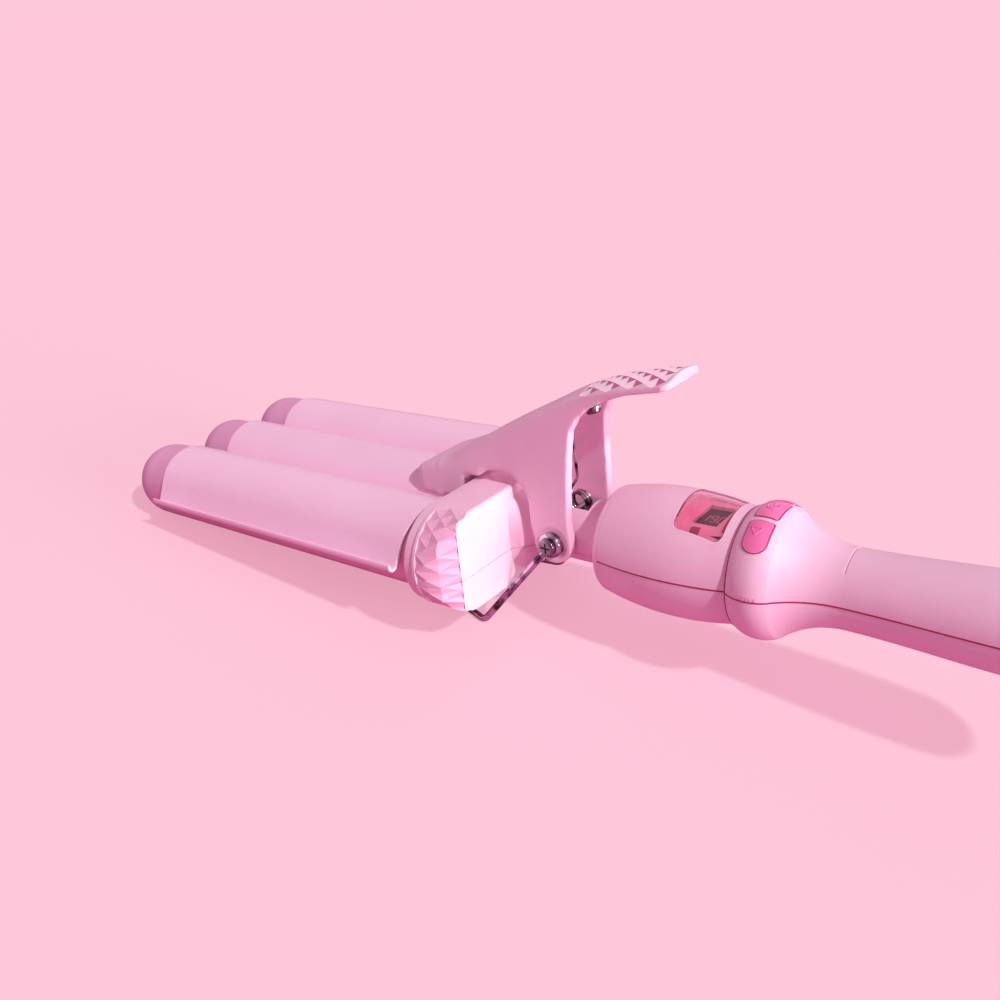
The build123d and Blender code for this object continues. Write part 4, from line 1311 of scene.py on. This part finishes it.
@dataclass
class ControlHead:
    """Bulb, ring and handle shells, with the window, the display and three buttons."""

    # The ring is an arc through three points of its side view, round an axis at this height.
    axis_z: float = -0.7
    ring: tuple[Point, Point, Point] = ((67.3, 0.0, 20.3), (73.6, 0.0, 22.5), (80.3, 0.0, 20.6))
    run_step: float = 0.4
    degrees_per_mm: float = 2.5
    # The buttons. Places round the ring are degrees from its top, and a corner is cut by (mm, degrees).
    button_x: float = 74.4
    button_half: float = 3.6
    proud: float = 0.45
    middle_end: float = 15.6
    middle_corner: tuple[float, float] = (0.9, 2.1)
    side_start: float = 20.6
    side_corner: tuple[float, float] = (0.8, 1.2)
    side_bend: float = 41.0
    side_round: float = 9.3
    rim_out: float = 0.5
    rim_sunk: float = 0.06
    rim_wire: float = 0.22
    gap_out: float = 0.13
    gap_wire: float = 0.2
    # The signs on the buttons: front, rear and tip of the triangles along the tool, and round the ring.
    sign_places: tuple[float, float, float] = (71.9, 75.7, 73.8)
    sign_turns: tuple[float, float] = (28.6, 35.4)
    sign_sunk: float = 0.03
    sign_wire: float = 0.25
    power_radius: float = 1.9
    power_turn: float = 4.9
    power_arc: range = range(125, 416, 10)
    power_bar: tuple[float, float] = (-1.4, -6.4)
    # The dark beads in the seam between the shells, found on the upper shell a little above it, and in the
    # ring's crease: painted shade.
    seam_front: float = 20.6
    seam_rear: float = 184.0
    seam_step: float = 1.0
    seam_over: float = 0.3
    seam_sunk: float = 0.08
    seam_wire: float = 0.3
    crease_x: float = 67.2
    crease_sunk: float = 0.05
    crease_steps: int = 90
    # The window, whose bead follows the height of the shell a little outside it.
    window_x: float = 54.9
    window_half: float = 8.3
    window_y: float = 14.9
    window_corner: float = 2.5
    window_step: float = 0.6
    window_shell: float = 0.45
    window_wire: float = 0.2
    window_gap_sunk: float = 0.12
    window_edge_out: float = 0.38
    window_edge_sunk: float = 0.1
    # A dark bead seen through the window under its rear edge, painted shade where the wall there lies in
    # shadow.
    wall_steps: int = 10
    wall_step: float = 1.0
    wall_shell: float = 0.6
    wall_in: float = 0.9
    wall_sunk: float = 1.95
    wall_wire: float = 0.65
    # The tray latch's slot, drawn as a dark sheet over the tray: painted shade.
    latch_x: float = 53.4
    latch_y: float = -12.2
    latch_size: tuple[float, float] = (3.0, 3.8)
    latch_over: float = 0.12
    latch_thickness: float = 0.3
    latch_angle: float = 40.0
    # The display's digits, of bars that are one unit long and wide until they are scaled.
    display_x: float = 54.3
    display_top: float = 13.55
    digit_width: float = 1.8
    digit_height: float = 4.8
    digit_pitch: float = 2.8
    bar_width: float = 0.45
    bar_thickness: float = 0.06
    bar_sunk: float = 0.02
    bar_gap: float = 0.25
    bar_end: float = 0.3
    bar_point: float = 0.1
    bodies: dict[Side, str] = field(
        default_factory=lambda: {
            Side.NEAR: "button_down",
            Side.MIDDLE: "button_power",
            Side.FAR: "button_up",
        }
    )

    def on_ring(self, x: float, angle: float, lift: float) -> Vector:
        """Point on the ring's skin.

        Args:
            x: Place along the tool.
            angle: Degrees from the top, towards the near side.
            lift: Height over the skin.

        Returns:
            The point, in millimetres along the tool.
        """
        radius = arc_height(*self.ring, x) + lift
        turn = math.radians(angle)
        return Vector((x, -radius * math.sin(turn), self.axis_z + radius * math.cos(turn)))

    def run(self, path: Sequence[tuple[float, float]], lift: float, closed: bool) -> list[Vector]:
        """Close points over the ring's skin along a path.

        Args:
            path: Points as places along the tool and degrees from the top.
            lift: Height over the skin.
            closed: Whether the last point joins the first.

        Returns:
            The points, in millimetres along the tool.
        """
        points = close_points(path, self.run_step, closed, self.degrees_per_mm)
        return [self.on_ring(x, angle, lift) for x, angle in points]

    def icons(self, finishes: Finishes) -> None:
        """Raised signs on the buttons: triangles for less and more, and a power sign between them.

        Args:
            finishes: The tool's materials.
        """
        front, rear, tip = self.sign_places
        low, high = self.sign_turns
        near = [(front, low), (rear, low), (tip, high)]
        far = [(front, -high), (rear, -high), (tip, -low)]
        arc = []
        for turn in map(math.radians, self.power_arc):
            x = self.button_x + self.power_radius * math.cos(turn)
            arc.append((x, -self.power_turn * math.sin(turn)))
        bar = [(self.button_x, turn) for turn in self.power_bar]
        for name, side, path, closed in (
            ("sign_less", Side.NEAR, near, True),
            ("sign_more", Side.FAR, far, True),
            ("sign_power_arc", Side.MIDDLE, arc, False),
            ("sign_power_bar", Side.MIDDLE, bar, False),
        ):
            points = self.run(path, self.proud - self.sign_sunk, closed)
            trim(name, points, self.sign_wire, closed, finishes.button, "button_plastic", self.bodies[side])

    def opening(self, side: Side, grow: float) -> list[tuple[float, float]]:
        """Outline round a button.

        Args:
            side: Which button.
            grow: Distance of the outline outside the button's own edge.

        Returns:
            Places along the tool and degrees from the top.
        """
        half, wide = self.button_half + grow, grow * self.degrees_per_mm
        low, high = self.button_x - half, self.button_x + half
        if side is Side.MIDDLE:
            end = self.middle_end + wide
            cut, turn = self.middle_corner
            path = [(low + cut, -end), (high - cut, -end), (high, turn - end), (high, end - turn)]
            return path + [(high - cut, end), (low + cut, end), (low, end - turn), (low, turn - end)]
        start, bend, reach = self.side_start - wide, self.side_bend, self.side_round + wide
        cut, turn = self.side_corner
        path = [(high, bend), (high, start + turn), (high - cut, start), (low + cut, start)]
        path += [(low, start + turn), (low, bend)]
        for step in range(1, 12):
            turn = math.radians(180 + 15 * step)
            path.append((self.button_x + half * math.cos(turn), bend - reach * math.sin(turn)))
        return [(x, angle * -side.value) for x, angle in path]

    def rims(self, finishes: Finishes) -> None:
        """Rounded rims of the three button openings, and dark beads in the gaps inside them, painted shade.

        Args:
            finishes: The tool's materials.
        """
        for side in Side:
            name = side.name.lower()
            rim = self.run(self.opening(side, self.rim_out), -self.rim_sunk, True)
            trim(f"opening_rim_{name}", rim, self.rim_wire, True, finishes.housing, "housing", "tool")
            gap = self.run(self.opening(side, self.gap_out), 0.0, True)
            trim(f"opening_gap_shade_{name}", gap, self.gap_wire, True, finishes.painted_gap_shade, "inner_plastic", "tool")

    def seams(self, frame: dict[str, Any], finishes: Finishes) -> None:
        """Dark bead in the gap between the two shells, and one in the crease in front of the ring: painted
        shade.

        Args:
            finishes: The tool's materials.
        """
        shell = frame["nodes"]["handle_upper"]
        level = self.axis_z + self.seam_over
        for side in (Side.NEAR, Side.FAR):
            start_y, way = side.value * FAR_OUT, (0, -side.value, 0)
            points = []
            for step in range(int((self.seam_rear - self.seam_front) / self.seam_step) + 1):
                place = touch(shell, (self.seam_front + step * self.seam_step, start_y, level), way)
                # A line that passes behind the shell's end gives its own start back.
                if abs(place.y) < FAR_OUT:
                    points.append(Vector((place.x, place.y - side.value * self.seam_sunk, self.axis_z)))
            name = f"seam_{side.name.lower()}"
            trim(name, points, self.seam_wire, False, finishes.painted_gap_shade, "inner_plastic", "tool")
        radius = abs(touch(shell, (self.crease_x, -FAR_OUT, level), (0, 1, 0)).y) - self.crease_sunk
        crease = circle((self.crease_x, 0.0, self.axis_z), radius, self.crease_steps)
        trim("ring_crease_shade", crease, self.seam_wire, True, finishes.painted_gap_shade, "inner_plastic", "tool")

    def window(self, frame: dict[str, Any], finishes: Finishes) -> None:
        """Dark bead in the gap round the window, its bright rounded edge, and a dark bead under its rear
        edge where the wall is: the dark beads are painted shade.

        Args:
            finishes: The tool's materials.
        """
        shell = frame["nodes"]["handle_upper"]
        for name, grow, sunk, finish, slot in (
            ("window_gap_shade", 0.0, self.window_gap_sunk, finishes.painted_gap_shade, "inner_plastic"),
            ("window_edge", self.window_edge_out, self.window_edge_sunk, finishes.housing, "housing"),
        ):
            outside = self.window_shell - grow
            points = []
            for x, y in self.window_line(grow):
                start_x = x + math.copysign(outside, x - self.window_x)
                start_y = y * (1 + outside / self.window_y)
                height = touch(shell, (start_x, start_y, FAR_OUT), (0, 0, -1)).z
                points.append(Vector((x, y, height - sunk)))
            trim(name, points, self.window_wire, True, finish, slot, "tool")
        rear = self.window_x + self.window_half
        wall = []
        for step in range(-self.wall_steps, self.wall_steps + 1):
            y = step * self.wall_step
            height = touch(shell, (rear + self.wall_shell, y, FAR_OUT), (0, 0, -1)).z
            wall.append(Vector((rear - self.wall_in, y, height - self.wall_sunk)))
        trim("window_wall_shade", wall, self.wall_wire, False, finishes.painted_gap_shade, "inner_plastic", "tool")

    def window_line(self, grow: float) -> list[tuple[float, float]]:
        """Rounded outline of the window, seen from above.

        Args:
            grow: Distance of the outline outside the window's own.

        Returns:
            Points close together, as (x, y).
        """
        half_x, half_y = self.window_half + grow, self.window_y + grow
        corner = self.window_corner + grow
        points = []
        for quarter, (sx, sy) in enumerate(((1, 1), (-1, 1), (-1, -1), (1, -1))):
            for step in range(7):
                turn = math.radians(90 * quarter + 15 * step)
                x = self.window_x + sx * (half_x - corner) + corner * math.cos(turn)
                points.append((x, sy * (half_y - corner) + corner * math.sin(turn)))
        return close_points(points, self.window_step, closed=True)

    def segment_bar(self, name: str, x: float, y: float, length: float, upright: bool) -> bpy.types.Object:
        """One bar of a seven-segment digit, with pointed ends.

        Args:
            name: Name of the piece.
            x: Its middle along the tool.
            y: Its middle across the tool.
            length: Its length.
            upright: Whether it stands upright in the digit, along Y.

        Returns:
            The bar, along the tool.
        """
        bpy.ops.object.select_all(action="DESELECT")
        place = (x, y, self.display_top - self.bar_sunk)
        bpy.ops.mesh.primitive_circle_add(vertices=6, radius=0.5, fill_type="NGON", location=place)
        obj = named(name)
        with editing(obj):
            pick(obj, Pick.VERTS, lambda vertex: vertex.co.x > self.bar_end)
            bpy.ops.transform.translate(value=(self.bar_point, 0, 0))
            pick(obj, Pick.VERTS, lambda vertex: vertex.co.x < -self.bar_end)
            bpy.ops.transform.translate(value=(-self.bar_point, 0, 0))
            bpy.ops.mesh.select_all(action="SELECT")
            bpy.ops.mesh.extrude_region_move(
                TRANSFORM_OT_translate={"value": (0, 0, self.bar_thickness)}
            )
            bpy.ops.mesh.select_all(action="SELECT")
            bpy.ops.mesh.normals_make_consistent(inside=False)
        obj.scale = (length, self.bar_width, 1)
        obj.rotation_euler = (0, 0, math.pi / 2 if upright else 0)
        only(obj)
        bpy.ops.object.transform_apply(location=True, rotation=True, scale=True)
        return obj

    def digits(self, finishes: Finishes) -> None:
        """Plain digits of the display: 190.

        Args:
            finishes: The tool's materials.
        """
        lit = {"1": "bc", "9": "abcdfg", "0": "abcdef"}
        half_w, quarter = self.digit_width / 2, self.digit_height / 4
        spots = {
            "a": (0.0, 2 * quarter, False),
            "b": (half_w, quarter, True),
            "c": (half_w, -quarter, True),
            "d": (0.0, -2 * quarter, False),
            "e": (-half_w, -quarter, True),
            "f": (-half_w, quarter, True),
            "g": (0.0, 0.0, False),
        }
        bars = []
        for place, digit in enumerate("190"):
            middle = self.display_x + (place - 1) * self.digit_pitch
            for key in lit[digit]:
                x, y, upright = spots[key]
                length = (2 * quarter if upright else self.digit_width) - self.bar_gap
                bars.append(self.segment_bar(f"bar_{place}_{key}", middle + x, y, length, upright))
        bpy.ops.object.select_all(action="DESELECT")
        for bar in bars:
            bar.select_set(True)
        bpy.context.view_layer.objects.active = bars[0]
        bpy.ops.object.join()
        obj = named("display_digits")
        settle(obj)
        hand_over(obj, finishes.digit, "display", "tool")

    def tray_latch_shade(self, frame: dict[str, Any], finishes: Finishes) -> None:
        """Dark sheet over the tray's near rim where the latch's slot is: painted shade for the slot.

        Args:
            finishes: The tool's materials.
        """
        tray = frame["nodes"]["display_tray"]
        bpy.ops.object.select_all(action="DESELECT")
        bpy.ops.mesh.primitive_grid_add(x_subdivisions=4, y_subdivisions=10, size=1)
        obj = named("tray_latch_shade")
        long, wide = self.latch_size
        for vertex in obj.data.vertices:
            x, y = self.latch_x + vertex.co.x * long, self.latch_y + vertex.co.y * wide
            vertex.co = Vector((x, y, touch(tray, (x, y, FAR_OUT), (0, 0, -1)).z + self.latch_over))
        modify(obj, "SOLIDIFY", thickness=self.latch_thickness, offset=-1.0)
        settle(obj)
        smooth_by_angle(obj, self.latch_angle)
        hand_over(obj, finishes.painted_gap_shade, "inner_plastic", "tool")

    def build(self, frame: dict[str, Any], finishes: Finishes) -> None:
        """Dresses the head and the handle and models their small parts.

        Args:
            finishes: The tool's materials.
        """
        dress(frame, finishes.housing, "handle_upper", "handle_lower", "front_cap", "end_cap")
        dress(frame, finishes.lens, "display_lens")
        dress(frame, finishes.tray, "display_tray")
        dress(frame, finishes.display, "display_module")
        dress(frame, finishes.board, "control_board", "power_board")
        dress(frame, finishes.switch, "switch_carrier", "button_switches")
        dress(frame, finishes.extruded, "power_capacitor")
        dress(frame, finishes.button, "button_down", "button_power", "button_up")
        dress(frame, finishes.screw, "handle_screws")
        dress(frame, finishes.housing, "cord_bush")
        self.icons(finishes)
        self.rims(finishes)
        self.seams(frame, finishes)
        self.window(frame, finishes)
        self.digits(finishes)
        self.tray_latch_shade(frame, finishes)


@dataclass
class PivotAndStand:
    """Pivot hardware and the wire stand that hangs on it."""

    def build(self, frame: dict[str, Any], finishes: Finishes) -> None:
        """Dresses the pivot and the stand.

        Args:
            finishes: The tool's materials.
        """
        dress(frame, finishes.dark_screw, "pivot_screws")
        dress(frame, finishes.screw, "pivot_washers")
        dress(frame, finishes.plate, "pivot_axle")
        dress(frame, finishes.wire, "stand_wire")


# Studio


@dataclass
class Studio:
    """Pale floor, soft light from the right, and the camera at the photograph's viewing angle."""

    background: str = "FDC8DA"
    floor_colour: str = "FFFCFD"
    floor_glow: str = "FFB3CD"
    glow_share: float = 0.7
    bounce: str = "DA81AD"
    floor_size: float = 40.0
    fill: float = 0.38
    fill_colour: str = "FFDAED"
    # Each lamp's strength, the direction that its light comes from and its width in degrees.
    key: float = 2.25
    key_way: Point = (0.7, -0.16, 0.69)
    key_angle: float = 3.0
    side: float = 3.3
    side_way: Point = (0.99, 0.04, 0.08)
    side_angle: float = 30.0
    # The camera as solved from the photograph: its place in metres, the image's right and up, its lens
    # and sensor in millimetres, and how far the image is shifted.
    eye: Point = (0.1772088, -0.2732826, 0.2143054)
    right: Point = (0.7754246, 0.6307124, -0.0303084)
    up: Point = (-0.2612639, 0.3641664, 0.8939374)
    lens: float = 35.48
    sensor: float = 36.0
    shift: tuple[float, float] = (0.05349, -0.01335)

    def camera(self) -> None:
        """Camera from its place and the directions of the image's right and up."""
        data = bpy.data.cameras.new("camera")
        data.lens = self.lens
        data.sensor_width = self.sensor
        data.shift_x, data.shift_y = self.shift
        data.clip_start = 0.01
        data.clip_end = 100.0
        camera = bpy.data.objects.new("camera", data)
        bpy.context.scene.collection.objects.link(camera)
        right = Vector(self.right).normalized()
        back = right.cross(Vector(self.up)).normalized()
        up = back.cross(right)
        turn = Matrix((right, up, back)).transposed().to_4x4()
        camera.matrix_world = Matrix.Translation(self.eye) @ turn
        bpy.context.scene.camera = camera

    def lights(self) -> None:
        """Key light from above the handle and a broad, low side light; the world gives the fill."""
        for name, energy, way, angle in (
            ("key", self.key, self.key_way, self.key_angle),
            ("side", self.side, self.side_way, self.side_angle),
        ):
            data = bpy.data.lights.new(name, "SUN")
            data.energy = energy
            data.angle = math.radians(angle)
            lamp = bpy.data.objects.new(name, data)
            bpy.context.scene.collection.objects.link(lamp)
            lamp.rotation_euler = Vector(way).to_track_quat("Z", "Y").to_euler()

    def world(self) -> None:
        """World that looks pale pink, also in metal and glass, and lights more softly than it looks."""
        world = bpy.data.worlds.new("studio")
        bpy.context.scene.world = world
        world.use_nodes = True
        tree = world.node_tree
        tree.nodes.clear()
        path = add(tree, "ShaderNodeLightPath")
        seen = add(
            tree,
            "ShaderNodeMath",
            {0: path.outputs["Is Camera Ray"], 1: path.outputs["Is Glossy Ray"]},
            operation="MAXIMUM",
        )
        seen = add(
            tree,
            "ShaderNodeMath",
            {0: seen.outputs["Value"], 1: path.outputs["Is Transmission Ray"]},
            operation="MAXIMUM",
        )
        shown = add(tree, "ShaderNodeBackground", {"Color": linear(self.background), "Strength": 1.0})
        fill = add(tree, "ShaderNodeBackground", {"Color": linear(self.fill_colour), "Strength": self.fill})
        mix = add(
            tree,
            "ShaderNodeMixShader",
            {0: seen.outputs["Value"], 1: fill.outputs["Background"], 2: shown.outputs["Background"]},
        )
        add(tree, "ShaderNodeOutputWorld", {"Surface": mix.outputs["Shader"]})

    def floor(self) -> None:
        """Plain matt floor in the background's colour, which keeps the tool's shadow."""
        bpy.ops.object.select_all(action="DESELECT")
        bpy.ops.mesh.primitive_plane_add(size=self.floor_size)
        obj = named("studio_floor")
        material, tree = blank("paper_pink_matt")
        camera = add(tree, "ShaderNodeLightPath").outputs["Is Camera Ray"]
        paper = add(tree, "ShaderNodeBsdfDiffuse", {"Color": linear(self.floor_colour), "Roughness": 0.0})
        glow = add(tree, "ShaderNodeEmission", {"Color": linear(self.floor_glow), "Strength": 1.0})
        shown = add(
            tree,
            "ShaderNodeMixShader",
            {0: self.glow_share, 1: paper.outputs["BSDF"], 2: glow.outputs["Emission"]},
        )
        bounce = add(tree, "ShaderNodeBsdfDiffuse", {"Color": linear(self.bounce), "Roughness": 0.0})
        mix = add(
            tree, "ShaderNodeMixShader", {0: camera, 1: bounce.outputs["BSDF"], 2: shown.outputs["Shader"]}
        )
        add(tree, "ShaderNodeOutputMaterial", {"Surface": mix.outputs["Shader"]})
        obj.data.materials.append(material)

    def build(self) -> None:
        """Sets up the camera, the light, the world and the floor."""
        self.camera()
        self.lights()
        self.world()
        self.floor()
        bpy.context.scene.view_settings.view_transform = "Standard"


def main() -> None:
    """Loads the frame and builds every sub-assembly in order."""
    logging.basicConfig(level=logging.INFO, format="%(message)s")
    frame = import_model()
    finishes = Finishes()
    Studio().build()
    for assembly in (Barrels(), Crossbar(), ClampLever(), LeverSpring(), ControlHead(), PivotAndStand()):
        assembly.build(frame, finishes)
        LOG.info("%s done", type(assembly).__name__)


if __name__ == "__main__":
    main()
